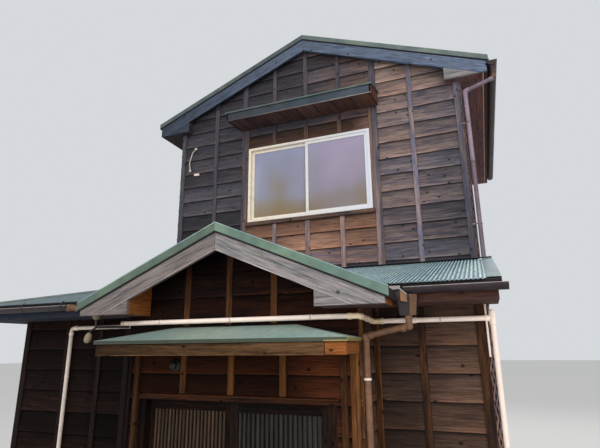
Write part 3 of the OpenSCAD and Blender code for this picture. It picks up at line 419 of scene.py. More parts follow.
def dark_glass(name):
    """Thin door glass before an unlit hall: nearly black, with a dusty gloss."""
    made, tree, body = new_material(name, IOR=1.52, Specular_IOR_Level=0.25)
    at = add(tree, "ShaderNodeTexCoord").outputs["Object"]
    # dust in patches about 0.1 m across
    dust = add(tree, "ShaderNodeTexNoise", {"Vector": at, "Scale": 9.0, "Detail": 5.0})
    base = add(tree, "ShaderNodeValToRGB", {"Fac": dust}, stops=(
        (0.35, linear("#080706")), (0.7, linear("#171412"))))
    matt = add(tree, "ShaderNodeMapRange", {"Value": dust, "To Min": 0.08, "To Max": 0.4})
    surface(tree, body, base, matt)
    return made


def cast_concrete(name, shade):
    """Concrete cast against boards: sandy, pitted, darker with damp near the ground."""
    made, tree, body = new_material(name, Roughness=0.9, IOR=1.5)
    at = add(tree, "ShaderNodeTexCoord").outputs["Object"]
    place = add(tree, "ShaderNodeSeparateXYZ", {0: at})
    # stains about 0.25 m across and sand grains about 4 mm across
    cloud = add(tree, "ShaderNodeTexNoise", {"Vector": at, "Scale": 4.0, "Detail": 6.0})
    sand = add(tree, "ShaderNodeTexNoise", {"Vector": at, "Scale": 220.0, "Detail": 2.0})
    base = add(tree, "ShaderNodeValToRGB", {"Fac": cloud}, stops=(
        (0.3, tint(shade, 0.6)), (0.5, shade), (0.72, tint(shade, 1.25))))
    damp = add(tree, "ShaderNodeMapRange", {
        "Value": place.outputs["Z"], "From Min": 0.0, "From Max": 0.11, "To Min": 0.6, "To Max": 1.0})
    grit = add(tree, "ShaderNodeMapRange", {"Value": sand, "To Min": 0.8, "To Max": 1.2})
    both = add(tree, "ShaderNodeMath", {0: damp, 1: grit}, operation="MULTIPLY")
    final = add(tree, "ShaderNodeVectorMath", {0: base, 3: both}, operation="SCALE")
    surface(tree, body, final, height=sand, depth=0.003, strength=0.6)
    return made


def clay_plaster(name, shade):
    """Trowelled clay plaster on the inside of the walls: matt, sandy, faintly uneven."""
    made, tree, body = new_material(name, Roughness=0.95, IOR=1.5)
    at = add(tree, "ShaderNodeTexCoord").outputs["Object"]
    # trowel drifts about 0.15 m across
    drift = add(tree, "ShaderNodeTexNoise", {"Vector": at, "Scale": 6.5, "Detail": 6.0})
    base = add(tree, "ShaderNodeValToRGB", {"Fac": drift}, stops=(
        (0.3, tint(shade, 0.82)), (0.7, tint(shade, 1.12))))
    surface(tree, body, base, height=drift, depth=0.004, strength=0.4)
    return made


def dull_steel(name, shade):
    """Drawn steel with a skin of rust, as on nail heads, screws and door rails."""
    made, tree, body = new_material(name, Metallic=1.0, Roughness=0.5)
    at = add(tree, "ShaderNodeTexCoord").outputs["Object"]
    # rust in spots about 8 mm across
    spots = add(tree, "ShaderNodeTexNoise", {"Vector": at, "Scale": 120.0, "Detail": 3.0})
    base = add(tree, "ShaderNodeValToRGB", {"Fac": spots}, stops=((0.4, shade), (0.6, linear("#3d2a20"))))
    surface(tree, body, base)
    return made


FINISHES = {}


def make_finishes():
    c = colours()
    FINISHES.update({
        "wall": timber("weathered_cedar_boards", c.wall[:], c.wall_warm[:], contrast=1.25, lap=True),
        "bare_wall": timber("rain_washed_cedar_boards", c.wall[:], linear("#7d5a46"), 0.15, lap=True),
        "wing": timber("sheltered_cedar_boards", c.wing[:], c.wing_warm[:], 0.2, lap=True, gloss=0.15),
        "porch": timber("shaded_cedar_boards", c.porch[:], c.porch_warm[:], 0.05, lap=True, gloss=0.06),
        "batten": timber("silvered_cedar_battens", c.batten[:], c.batten_warm[:], 0.2),
        "low_batten": timber("dark_cedar_battens", c.low_batten[:], c.low_batten_warm[:], 0.05, gloss=0.1),
        "door_wood": timber("sooty_door_timber", linear("#1b1311"), linear("#432412"), 0.0, gloss=0.08),
        "barge": timber("silvered_cedar_boards", c.barge[:], linear("#7a5f4e"), 0.4, 1.25, rough=0.88),
        "main_barge": timber("blue_grey_cedar_boards", c.main_barge[:], linear("#586478"), 0.22, 1.2,
                             rough=0.88),
        "eave": timber("stained_eave_boards", c.eave[:], linear("#553430"), 0.05, 0.6, plank=0.15),
        "fascia": timber("stained_fascia_boards", c.eave[:], linear("#5e3b2a"), 0.1, 0.9),
        "orange": timber("orange_cedar_boards", linear("#80491d"), silver=0.0, contrast=0.9),
        "canopy_wood": timber("brown_canopy_fascia", linear("#2d1f16"), linear("#6b4d30"), 0.12, 1.2,
                              gloss=0.1),
        "inner": timber("planed_cedar", linear("#a5805a"), silver=0.0, contrast=0.6, plank=0.12, rough=0.6),
        "lattice_left": timber("ochre_lattice_cedar", c.lattice[:], silver=0.1, knots=False),
        "lattice_right": timber("greyed_lattice_cedar", c.lattice_dark[:], silver=0.3, knots=False),
        "lean_x": painted_sheet("faded_corrugated_sheet_front", c.lean[:], along="y", wavy=True),
        "lean_y": painted_sheet("faded_corrugated_sheet_side", tint(c.lean[:], 0.6, (0.97, 1.0, 0.93)),
                                chalk=0.1, along="x", wavy=True),
        "canopy": painted_sheet("pale_flat_sheet", c.canopy[:], chalk=0.12, dirt=0.15, along="y"),
        "window": coated_aluminium("cream_coated_aluminium", c.window[:]),
        "pane": frosted_pane("figured_glass"),
        "hall": dark_glass("dark_door_glass"),
        "concrete": cast_concrete("board_marked_concrete", linear("#8d8981")),
        "plaster": clay_plaster("clay_plaster", linear("#8c7a62")),
        "steel": dull_steel("rusty_steel", linear("#6d6258")),
    })
    for finish, name, shade, dirt in (
            ("roof", "green_painted_flashing", c.roof[:], 0.25),
            ("verge", "olive_painted_flashing", c.verge[:], 0.3),
            ("flat", "pale_green_flashing", c.flat[:], 0.2),
            ("olive", "olive_canopy_lip", linear("#7f7344"), 0.2),
            ("lip", "dark_green_lip", linear("#2b3521"), 0.2),
            ("band", "dark_blue_green_flashing", linear("#29333d"), 0.3)):
        FINISHES[finish] = painted_sheet(name, shade, dirt=dirt, along="none")
    for finish, name, shade, fade, grime in (
            ("gutter", "faded_brown_plastic", c.gutter[:], 0.3, 0.2),
            # the pale rim plastic is a painted highlight on the gutters' rims and on other lit edges
            ("rim", "pale_brown_rim_painted_highlight", linear("#8d8582"), 0.3, 0.2),
            ("brown_pipe", "sun_bleached_brown_plastic", linear("#70503a"), 0.4, 0.2),
            ("grey_pipe", "mauve_bleached_plastic", linear("#84727e"), 0.3, 0.2),
            ("pipe", "off_white_plastic", c.pipe[:], 0.06, 0.06),
            ("aged_pipe", "yellowed_plastic", linear("#dcc6a6"), 0.1, 0.1)):
        FINISHES[finish] = old_plastic(name, shade, fade, grime)


# Shapes

def give(name, mesh, finishes, *replaced, body="house", slot=None, smooth=None, pick=None):
    """Puts a finished mesh in the scene as a piece that rides on a body. pick tells a face's finish."""
    piece = bpy.data.objects.new(name, mesh)
    bpy.context.scene.collection.objects.link(piece)
    marks = [pick(face) if pick else face.material_index for face in mesh.polygons]
    mesh.materials.clear()
    for finish in finishes:
        mesh.materials.append(FINISHES[finish])
    mesh.polygons.foreach_set("material_index", marks)
    if smooth is not None:
        mesh.polygons.foreach_set("use_smooth", [True] * len(mesh.polygons))
        mesh.set_sharp_from_angle(angle=math.radians(smooth))
    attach(piece, body)
    if replaced:
        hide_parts(*replaced)


def finish_node(node, finish):
    """Gives a node's own mesh a finish."""
    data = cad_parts[node].data
    data.materials.clear()
    data.materials.append(FINISHES[finish])


class Joinery:
    """Gathers boards, strips and tubes into one mesh, and keeps where each corner lies in its own board."""

    def __init__(self, seed):
        self.chance = random.Random(seed)
        self.points, self.faces, self.marks = [], [], []
        self.grain, self.tone, self.rise, self.warmth = [], [], [], []
        self.red = 0.5

    def corner(self, point, grain, tone, rise=0.5):
        self.points.append(tuple(point))
        self.grain.append(tuple(grain))
        self.tone.append(tone)
        self.rise.append(rise)
        self.warmth.append(self.red)
        return len(self.points) - 1

    def face(self, corners, mark=0):
        self.faces.append(corners)
        self.marks.append(mark)

    def loft(self, rings, mark=0):
        """Joins rings of corners, given in order, into a closed skin."""
        for a, b in zip(rings, rings[1:]):
            for i in range(len(a)):
                j = (i + 1) % len(a)
                self.face((a[i], a[j], b[j], b[i]), mark)
        self.face(tuple(reversed(rings[0])), mark)
        self.face(tuple(rings[-1]), mark)

    def jump(self):
        """A random place in the wood, so that no two boards look alike."""
        return Vector([self.chance.uniform(0, 40) for _ in range(3)])

    def choose(self, tone, red):
        """A board's tone, drawn where none is given, its place in the wood, and how red it is."""
        tone = self.chance.uniform(0.25, 0.75) if tone is None else tone
        self.red = self.red if red is None else red
        return tone, self.jump()

    def plank(self, start, end, width, thick, side, out, tone=None, mark=0, bevel=0.003, red=None):
        """A board from start to end on its centre line, with worn edges. side is the way of its width and
        out the way its face looks."""
        start, end, side, out = map(Vector, (start, end, side, out))
        way = end - start
        run = way.length
        way.normalize()
        tone, jump = self.choose(tone, red)
        w, t, b = width / 2, thick / 2, min(bevel, width / 3, thick / 3)
        ring = [(-w + b, -t), (w - b, -t), (w, -t + b), (w, t - b), (w - b, t), (-w + b, t),
                (-w, t - b), (-w, -t + b)]
        rings = []
        for place, centre in ((0, start), (run, end)):
            rings.append([self.corner(centre + side * p + out * q, jump + Vector((place, p, q)), tone)
                          for p, q in ring])
        if way.cross(side).dot(out) < 0:
            rings.reverse()
        self.loft(rings, mark)

    def slab(self, corners, out, thick, along, tone=None, mark=0, bevel=0.003, red=None):
        """A flat board of any outline: corners go round its front face, which looks out."""
        corners = [Vector(c) for c in corners]
        out, along = Vector(out).normalized(), Vector(along).normalized()
        tone, jump = self.choose(tone, red)
        side = out.cross(along).normalized()
        first = corners[0]
        area = sum(((b - first).cross(c - first) for b, c in zip(corners[1:], corners[2:])), Vector())
        if area.dot(out) < 0:
            corners.reverse()
        inner = []
        for a, b, c in zip(corners[-1:] + corners, corners, corners[1:] + corners[:1]):
            into, away = (b - a).normalized(), (c - b).normalized()
            left, right = out.cross(into), out.cross(away)
            turn = (left + right).normalized()
            inner.append(b + turn * bevel / max(0.35, turn.dot(left)))
        rings = []
        for ring, depth in ((inner, thick), (corners, thick - bevel), (corners, bevel), (inner, 0)):
            rings.append([self.corner(p - out * depth, jump + Vector((p.dot(along), p.dot(side), depth)),
                                      tone) for p in ring])
        self.loft(rings, mark)

    def hoop(self, centre, side, other, radius, far, tone, sides, widen=1):
        """A ring of corners round a centre, at a distance along the body."""
        turns = [2 * math.pi * k / sides for k in range(sides)]
        return [self.corner(centre + (side * math.cos(a) + other * math.sin(a)) * radius * widen,
                            (far, a * radius, 0), tone) for a in turns]

    def turned(self, start, way, profile, mark=0, tone=0.5, sides=20):
        """A round body along a way, its radius given at each distance."""
        start, way = Vector(start), Vector(way).normalized()
        side = way.orthogonal().normalized()
        other = way.cross(side)
        self.loft([self.hoop(start + way * far, side, other, radius, far, tone, sides)
                   for far, radius in profile], mark)

    def sleeve(self, centre, way, size, radius, mark=0, tone=0.5):
        """A socket or coupling round a pipe."""
        way = Vector(way).normalized()
        edge = min(0.002, size / 5)
        self.turned(Vector(centre) - way * size / 2, way, (
            (0, radius - edge), (edge, radius), (size - edge, radius), (size, radius - edge)), mark, tone)

    def tube(self, points, radius, bend=0.0, mark=0, sides=16, tone=0.5):
        """A round bar through points, with bends of one radius."""
        points = [Vector(p) for p in points]
        path = points[:1]
        for a, b, c in zip(points, points[1:], points[2:]):
            into, away = (b - a).normalized(), (c - b).normalized()
            turn = into.angle(away)
            if bend <= 0 or turn < 0.01:
                path.append(b)
                continue
            reach = min(bend * math.tan(turn / 2), (b - a).length * 0.49, (c - b).length * 0.49)
            steps = max(2, round(turn / 0.26))
            for i in range(steps + 1):
                s = i / steps
                path.append((b - into * reach) * (1 - s) ** 2 + b * 2 * s * (1 - s)
                            + (b + away * reach) * s ** 2)
        path.append(points[-1])
        ways = [(q - p).normalized() for p, q in zip(path, path[1:])]
        side = ways[0].orthogonal().normalized()
        rings, run = [], 0
        for i, point in enumerate(path):
            way = (ways[max(i - 1, 0)] + ways[min(i, len(ways) - 1)]).normalized()
            side = (side - way * side.dot(way)).normalized()
            other = way.cross(side)
            widen = 1 / max(0.5, way.dot(ways[min(i, len(ways) - 1)]))
            if i:
                run += (point - path[i - 1]).length
            rings.append(self.hoop(point, side, other, radius, run, tone, sides, widen))
        self.loft(rings, mark)

    def mesh(self, name):
        made = bpy.data.meshes.new(name)
        made.from_pydata(self.points, [], self.faces)
        made.polygons.foreach_set("material_index", self.marks)
        flat = [v for p in self.grain for v in p]
        made.attributes.new("grain", "FLOAT_VECTOR", "POINT").data.foreach_set("vector", flat)
        for label, values in (("tone", self.tone), ("rise", self.rise), ("warmth", self.warmth)):
            made.attributes.new(label, "FLOAT", "POINT").data.foreach_set("value", values)
        made.validate()
        return made


def dressed(node, seed, bevel=0.003, tones=(0.3, 0.7), fixed=None, look=None, ends=False):
    """A copy of a node's mesh with worn edges, where each board knows which way its grain runs. look
    gives a board's tone and warmth from its middle, or at each of its ends."""
    chance = random.Random(seed)
    work = bmesh.new()
    work.from_mesh(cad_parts[node].data)
    bmesh.ops.remove_doubles(work, verts=work.verts, dist=1e-5)
    bmesh.ops.dissolve_limit(work, angle_limit=math.radians(1), verts=work.verts, edges=work.edges)
    if bevel:
        sharp = [e for e in work.edges if len(e.link_faces) == 2 and e.calc_face_angle(0) > 0.5]
        bmesh.ops.bevel(work, geom=sharp, offset=bevel, segments=2, profile=0.6, affect="EDGES",
                        clamp_overlap=True)
    grain = work.verts.layers.float_vector.new("grain")
    tone, rise, warmth = (work.verts.layers.float.new(n) for n in ("tone", "rise", "warmth"))
    seen = set()
    for first in work.verts:
        if first in seen:
            continue
        island, queue = [], [first]
        seen.add(first)
        while queue:
            vert = queue.pop()
            island.append(vert)
            for edge in vert.link_edges:
                other = edge.other_vert(vert)
                if other not in seen:
                    seen.add(other)
                    queue.append(other)
        edges = [e for v in island for e in v.link_edges]
        faces = [f for v in island for f in v.link_faces]
        long_edge = max(edges, key=lambda e: e.calc_length())
        along = (long_edge.verts[1].co - long_edge.verts[0].co).normalized()
        if fixed:
            along = Vector(fixed)
        if sum(along) < 0:
            along = -along
        face = max(faces, key=lambda f: f.calc_area() if abs(f.normal.dot(along)) < 0.3 else 0)
        out = face.normal.copy()
        across = out.cross(along).normalized()
        shade, red = chance.uniform(*tones), 0.5
        if look:
            centre = sum((v.co for v in island), Vector()) / len(island)
            base, red = look(centre)
            shade = base + chance.uniform(-0.08, 0.08)
        jump = Vector((chance.uniform(0, 40), chance.uniform(0, 40), chance.uniform(0, 40)))
        for vert in island:
            vert[grain] = jump + Vector((vert.co.dot(along), vert.co.dot(across), vert.co.dot(out)))
            if ends:
                shade, red = look(vert.co)
            vert[tone], vert[rise], vert[warmth] = shade, 0.5, red
    made = bpy.data.meshes.new(node + "_dressed")
    work.to_mesh(made)
    work.free()
    return made


def dress(name, node, seed, finishes, slot, smooth=None, pick=None, **kind):
    """Puts a dressed copy of a node in the scene in the node's place."""
    give(name, dressed(node, seed, **kind), finishes, node, slot=slot, smooth=smooth, pick=pick)


def rule(name, inputs):
    """A node tree that takes a mesh and named sizes, with its group input and output."""
    tree = bpy.data.node_groups.new(name, "GeometryNodeTree")
    tree.interface.new_socket("Geometry", in_out="INPUT", socket_type="NodeSocketGeometry")
    for label, kind in inputs.items():
        tree.interface.new_socket(label, in_out="INPUT", socket_type="NodeSocket" + kind)
    tree.interface.new_socket("Geometry", in_out="OUTPUT", socket_type="NodeSocketGeometry")
    return tree, add(tree, "NodeGroupInput").outputs


def close_rule(tree, shape, finish):
    """Ends a tree: instances made real, then the material."""
    real = add(tree, "GeometryNodeRealizeInstances", {0: shape})
    done = add(tree, "GeometryNodeSetMaterial", {0: real, "Material": FINISHES[finish]})
    add(tree, "NodeGroupOutput", {0: done})
    return tree


def grow(name, tree, start, values):
    """Runs a tree on a starting mesh and returns the plain mesh that it makes."""
    holder = bpy.data.objects.new(name + "_start", start)
    bpy.context.scene.collection.objects.link(holder)
    step = holder.modifiers.new("rule", "NODES")
    step.node_group = tree
    for item in tree.interface.items_tree:
        if item.item_type == "SOCKET" and item.in_out == "INPUT" and item.name in values:
            step[item.identifier] = values[item.name]
    bpy.context.view_layer.update()
    made = bpy.data.meshes.new_from_object(holder.evaluated_get(bpy.context.evaluated_depsgraph_get()))
    bpy.data.objects.remove(holder)
    if not made.vertices:
        raise RuntimeError(name + " came out empty")
    made.name = name
    return made


def points_mesh(name, points, outs):
    """A mesh of loose points, each with the way that its face looks."""
    made = bpy.data.meshes.new(name)
    made.from_pydata([tuple(p) for p in points], [], [])
    flat = [v for out in outs for v in out]
    made.attributes.new("out", "FLOAT_VECTOR", "POINT").data.foreach_set("vector", flat)
    return made


def heads_rule(finish):
    """Round heads, a little domed, set on points and turned the way that each looks."""
    tree, given = rule("heads_" + finish, {"Radius": "Float", "Height": "Float"})
    head = add(tree, "GeometryNodeMeshCone", {"Vertices": 8, "Radius Top": 0.6, "Radius Bottom": 1.0,
                                              "Depth": 1.0})
    size = add(tree, "ShaderNodeCombineXYZ", {0: given["Radius"], 1: given["Radius"],
                                              2: given["Height"]})
    way = add(tree, "GeometryNodeInputNamedAttribute", {"Name": "out"}, data_type="FLOAT_VECTOR")
    turn = add(tree, "FunctionNodeAlignRotationToVector", {"Vector": way}, axis="Z")
    put = add(tree, "GeometryNodeInstanceOnPoints", {
        "Points": given["Geometry"], "Instance": head, "Scale": size,
        "Rotation": turn})
    return close_rule(tree, put, finish)


def sheet_rule(finish):
    """Corrugated sheet: a grid lifted into waves across its width, which keeps at each point the painted
    light of its wave, lighter on one flank than the other.
    """
    tree, given = rule("corrugated_" + finish, {
        "Width": "Float", "Run": "Float", "Wave": "Float", "Depth": "Float", "Columns": "Int", "Rows": "Int",
        "Tone": "Float"})
    grid = add(tree, "GeometryNodeMeshGrid", {
        "Size X": given["Width"], "Size Y": given["Run"],
        "Vertices X": given["Columns"], "Vertices Y": given["Rows"]})
    place = add(tree, "GeometryNodeInputPosition")
    split = add(tree, "ShaderNodeSeparateXYZ", {0: place})
    turns = add(tree, "ShaderNodeMath", {0: split.outputs["X"], 1: given["Wave"]},
                operation="DIVIDE")
    angle = add(tree, "ShaderNodeMath", {0: turns, 1: 2 * math.pi}, operation="MULTIPLY")
    wave = add(tree, "ShaderNodeMath", {0: angle}, operation="COSINE")
    # painted light and shade: one flank of each wave is lighter than the other, as if lit from that side
    turned = add(tree, "ShaderNodeMath", {0: angle, 1: 0.7})
    flank_light = add(tree, "ShaderNodeMath", {0: turned}, operation="COSINE")
    height = add(tree, "ShaderNodeMapRange", {"Value": flank_light, "From Min": -1.0})
    wave_light = add(tree, "GeometryNodeStoreNamedAttribute", {
        "Geometry": grid, "Name": "wave_light", "Value": height},
        data_type="FLOAT", domain="POINT")
    toned = add(tree, "GeometryNodeStoreNamedAttribute", {
        "Geometry": wave_light, "Name": "tone", "Value": given["Tone"]},
        data_type="FLOAT", domain="POINT")
    half = add(tree, "ShaderNodeMath", {0: given["Depth"], 1: 0.5}, operation="MULTIPLY")
    lift = add(tree, "ShaderNodeMath", {0: wave, 1: half}, operation="MULTIPLY")
    raised = add(tree, "ShaderNodeCombineXYZ", {2: lift})
    moved = add(tree, "GeometryNodeSetPosition", {0: toned, "Offset": raised})
    return close_rule(tree, moved, finish)


def bars_rule(finish):
    """Upright bars in a row, each with its own grain."""
    tree, given = rule("bars_" + finish, {
        "Count": "Int", "Step": "Float", "Width": "Float", "Thickness": "Float", "Height": "Float"})
    size = add(tree, "ShaderNodeCombineXYZ", {0: given["Width"], 1: given["Thickness"],
                                              2: given["Height"]})
    bar = add(tree, "GeometryNodeMeshCube", {"Size": size, "Vertices X": 2})
    step = add(tree, "ShaderNodeCombineXYZ", {0: given["Step"]})
    row = add(tree, "GeometryNodeMeshLine", {"Count": given["Count"], "Offset": step},
              mode="OFFSET")
    put = add(tree, "GeometryNodeInstanceOnPoints", {"Points": row, "Instance": bar})
    real = add(tree, "GeometryNodeRealizeInstances", {0: put})
    place = add(tree, "GeometryNodeInputPosition")
    split = add(tree, "ShaderNodeSeparateXYZ", {0: place})
    order = add(tree, "ShaderNodeMath", {0: split.outputs["X"], 1: given["Step"]},
                operation="DIVIDE")
    near = add(tree, "ShaderNodeMath", {0: order}, operation="ROUND")
    jump = add(tree, "ShaderNodeMath", {0: near, 1: 3.7, 2: split.outputs["Z"]},
               operation="MULTIPLY_ADD")
    way = add(tree, "ShaderNodeCombineXYZ", {0: jump, 1: split.outputs["X"],
                                             2: split.outputs["Y"]})
    kept = add(tree, "GeometryNodeStoreNamedAttribute", {
        "Geometry": real, "Name": "grain", "Value": way},
        data_type="FLOAT_VECTOR", domain="POINT")
    luck = add(tree, "FunctionNodeRandomValue", {2: 0.25, 3: 0.9, "ID": near, "Seed": 7})
    toned = add(tree, "GeometryNodeStoreNamedAttribute", {
        "Geometry": kept, "Name": "tone", "Value": luck.outputs[1]},
        data_type="FLOAT", domain="POINT")
    return close_rule(tree, toned, finish)


def straps_rule(finish):
    """Straps that hold a round gutter or pipe: half rings swept by a flat bar, set on points."""
    tree, given = rule("straps_" + finish, {"Radius": "Float", "Sweep": "Float", "Start": "Float",
                                               "Width": "Float"})
    arc = add(tree, "GeometryNodeCurveArc", {
        "Resolution": 12, "Radius": given["Radius"], "Start Angle": given["Start"],
        "Sweep Angle": given["Sweep"]})
    flat = add(tree, "GeometryNodeCurvePrimitiveQuadrilateral", {"Width": 0.003,
                                                                 "Height": given["Width"]})
    strap = add(tree, "GeometryNodeCurveToMesh", {0: arc, 1: flat, "Fill Caps": True})
    way = add(tree, "GeometryNodeInputNamedAttribute", {"Name": "out"}, data_type="FLOAT_VECTOR")
    turn = add(tree, "FunctionNodeAlignRotationToVector", {"Vector": way}, axis="Z")
    put = add(tree, "GeometryNodeInstanceOnPoints", {
        "Points": given["Geometry"], "Instance": strap, "Rotation": turn})
    return close_rule(tree, put, finish)


# Lapped boards

# How far apart the joints of a row lie on average, and the shortest board
BOARD_RUN, SHORTEST_BOARD = 2.6, 0.85
# Levels where a board's lower edge lies, on the upper walls and on the lower ones
UPPER_SEAM_Z, LOWER_SEAM_Z = 0.092, 0.186
# Clear space between the tops of the boards and the roof decks
SEAT = 0.003
# The bay that the window fills: its half width, and where the canopy over it meets the wall
BAY_X, CANOPY_ROOT_Z = 2 * MODULE, 5.2
# Up to here the lean-to roof splashes the upper front
SPLASH_Z = 4.0


def lap_boards(work, origin, way, out, floor, top, seam, mark=0, joints=(), cut=None, look=None):
    """Rows of lapped boards on a wall. floor is the level they start at, top the line they run up to, as
    (place along the wall, level) points, seam a level where a board's lower edge lies, joints the places
    where boards may meet end to end, cut a window, (from, to, sill, head), that rows are broken by, and
    look the tone and warmth at a place."""
    s = sizes()
    pitch, chance = s.board_pitch, work.chance
    origin, way, out = Vector(origin), Vector(way), Vector(out)
    start, stop = top[0][0], top[-1][0]
    look = look or (lambda u, z: (0.5, 0.45))

    def roof(u):
        for (u0, z0), (u1, z1) in zip(top, top[1:]):
            if u0 <= u <= u1:
                return z0 + (z1 - z0) * (u - u0) / max(u1 - u0, 1e-6)
        return top[-1][1]

    def board_ends(z0, z1):
        """Where a row's boards meet: a few of the joints, at random, and the window's sides."""
        ends = [start]
        spots = [j for j in joints if start + 0.5 < j < stop - 0.5]
        chance.shuffle(spots)
        for spot in spots[:max(1, round((stop - start) / BOARD_RUN))]:
            if all(abs(spot - e) > SHORTEST_BOARD for e in ends + [stop]):
                ends.append(spot)
        ends = sorted(ends + [stop])
        if cut and min(z1, cut[3]) - max(z0, cut[2]) > pitch / 2:
            ends = sorted([e for e in ends if not cut[0] < e < cut[1]] + [cut[0], cut[1]])
        return ends

    def places(a, b, bottom, z1):
        """Where a board from a to b gets a section: its ends, where the roof line bends or crosses its
        edges, both sides of each batten, and every 0.3 m."""
        found = {a, b} | {u for u, _ in top if a < u < b}
        for (u0, za), (u1, zb) in zip(top, top[1:]):
            for level in (bottom + 0.004, z1):
                if (za - level) * (zb - level) < 0:
                    u = u0 + (level - za) / (zb - za) * (u1 - u0)
                    if a < u < b:
                        found.add(u)
        # a batten hides where the weathering and the painted light of one bay pass into the next
        found |= {j + d for j in joints for d in (-0.012, 0.012) if a + 0.02 < j + d < b - 0.02}
        count = max(1, round((b - a) / 0.3))
        return sorted(found | {a + (b - a) * i / count for i in range(1, count)})

    def board(a, b, row, z0, z1):
        bottom = max(z0, floor)
        own, own_red = chance.uniform(-0.19, 0.19), chance.uniform(-0.25, 0.25)
        jump = Vector((chance.uniform(0, 40), row * 1.37, chance.uniform(0, 9)))
        droop, proud = chance.uniform(-0.002, 0.002), s.board_proud + chance.uniform(-0.002, 0.003)
        rings = []
        for u in places(a, b, bottom, z1):
            head = min(z1, roof(u))
            if head - bottom < 0.003:
                if len(rings) > 1:
                    break
                rings = []
                continue
            foot = bottom + (droop + chance.uniform(-0.0012, 0.0012) if bottom == z0 else 0)
            stand = proud + chance.uniform(-0.0015, 0.002)
            fall = (stand - s.board_back) / pitch
            base, red = look(u, (bottom + head) / 2)
            work.red = red + own_red
            # the section: a worn lower edge, then the sloping face up to the head
            face = [(foot, -0.001), (foot, stand - 0.003), (foot + 0.003, stand)]
            for share in (0.15, 0.5, 0.8, 0.93):
                z = min(bottom + (z1 - bottom) * share, head - 0.001)
                face.append((z, max(s.board_back, stand - fall * (z - z0))))
            face += [(head, max(s.board_back, stand - fall * (head - z0))), (head, -0.001)]
            rings.append([work.corner(
                origin + way * u + Z * (z - origin.z) + out * d, jump + Vector((u, z - z0, d)),
                base + own, (z - z0) / pitch) for z, d in face])
        if len(rings) > 1:
            if way.cross(Z).dot(out) > 0:
                rings.reverse()
            work.loft(rings, mark)

    row = math.floor((floor - seam) / pitch)
    while seam + row * pitch < max(z for _, z in top):
        z0, z1 = seam + row * pitch, seam + (row + 1) * pitch
        row += 1
        ends = board_ends(z0, z1)
        for a, b in zip(ends, ends[1:]):
            if not (cut and (a, b) == (cut[0], cut[1])):
                board(a, b, row, z0, z1)


def front_roof_line(x):
    return max(min(LEAN_TOP_Z, side_top(x)), porch_top(x))


def upper_look(x, z):
    """Tone and warmth of the upper front: palest right of the window and darker to its left, as painted
    light and shade; bare where rain runs off the sill, with the board just under the sill left darker as
    painted shade; darker high in the gable except at the right, also painted shade.
    """
    if abs(x) < BAY_X and z < 3.9:
        return 0.45 + (max(0, 1 - abs(x) / 0.5) if z < 3.72 else 0), 1.2 - 1.6 * max(0, 3.75 - z)
    if abs(x) < BAY_X and z < CANOPY_ROOT_Z:
        return -0.1, 1.2
    # splashed and darker towards the lean-to roof
    climb = min(0.18, max(-0.22, 0.6 * (z - SPLASH_Z)))
    if x > 0.9:
        red = 0.38 - 0.45 * max(0, x - 1.2) + (0.3 if z > 5.0 else 0) + min(0, climb)
        return 0.6 - 0.5 * max(0, x - 1.2) + climb, red
    red = -0.05 + 0.5 * x + (0.3 if x > 0.2 else 0) if x > -0.9 else -0.3
    return 0.1 + 0.1 * x + 0.5 * climb - (0.15 if z > 5.3 else 0), red


def porch_look(x, z):
    """Pale at the right of the door, reddest over it, darkened up under the gable with painted shade from the
    porch roof.
    """
    if z < LINTEL_Z:
        return (0.62, 0.5) if x > 0 else (-0.1, -0.2)
    if z > 2.3:
        return 0.05 - 1.3 * max(0, z - 2.68), 0.3 + 0.25 * x
    return (0.6 if x > 0.55 else -0.2), 1.2


def wing_look(x, z):
    """Dark on the left wing, as painted shade; on the right one palest and reddest towards its outer end and
    its eave.
    """
    if x < 0:
        return (0.04 if x < -1.9 else -0.14), -0.2
    return (-0.05 if x < 1.48 else 0.45), 0.85 - 0.5 * (2.3 - z)


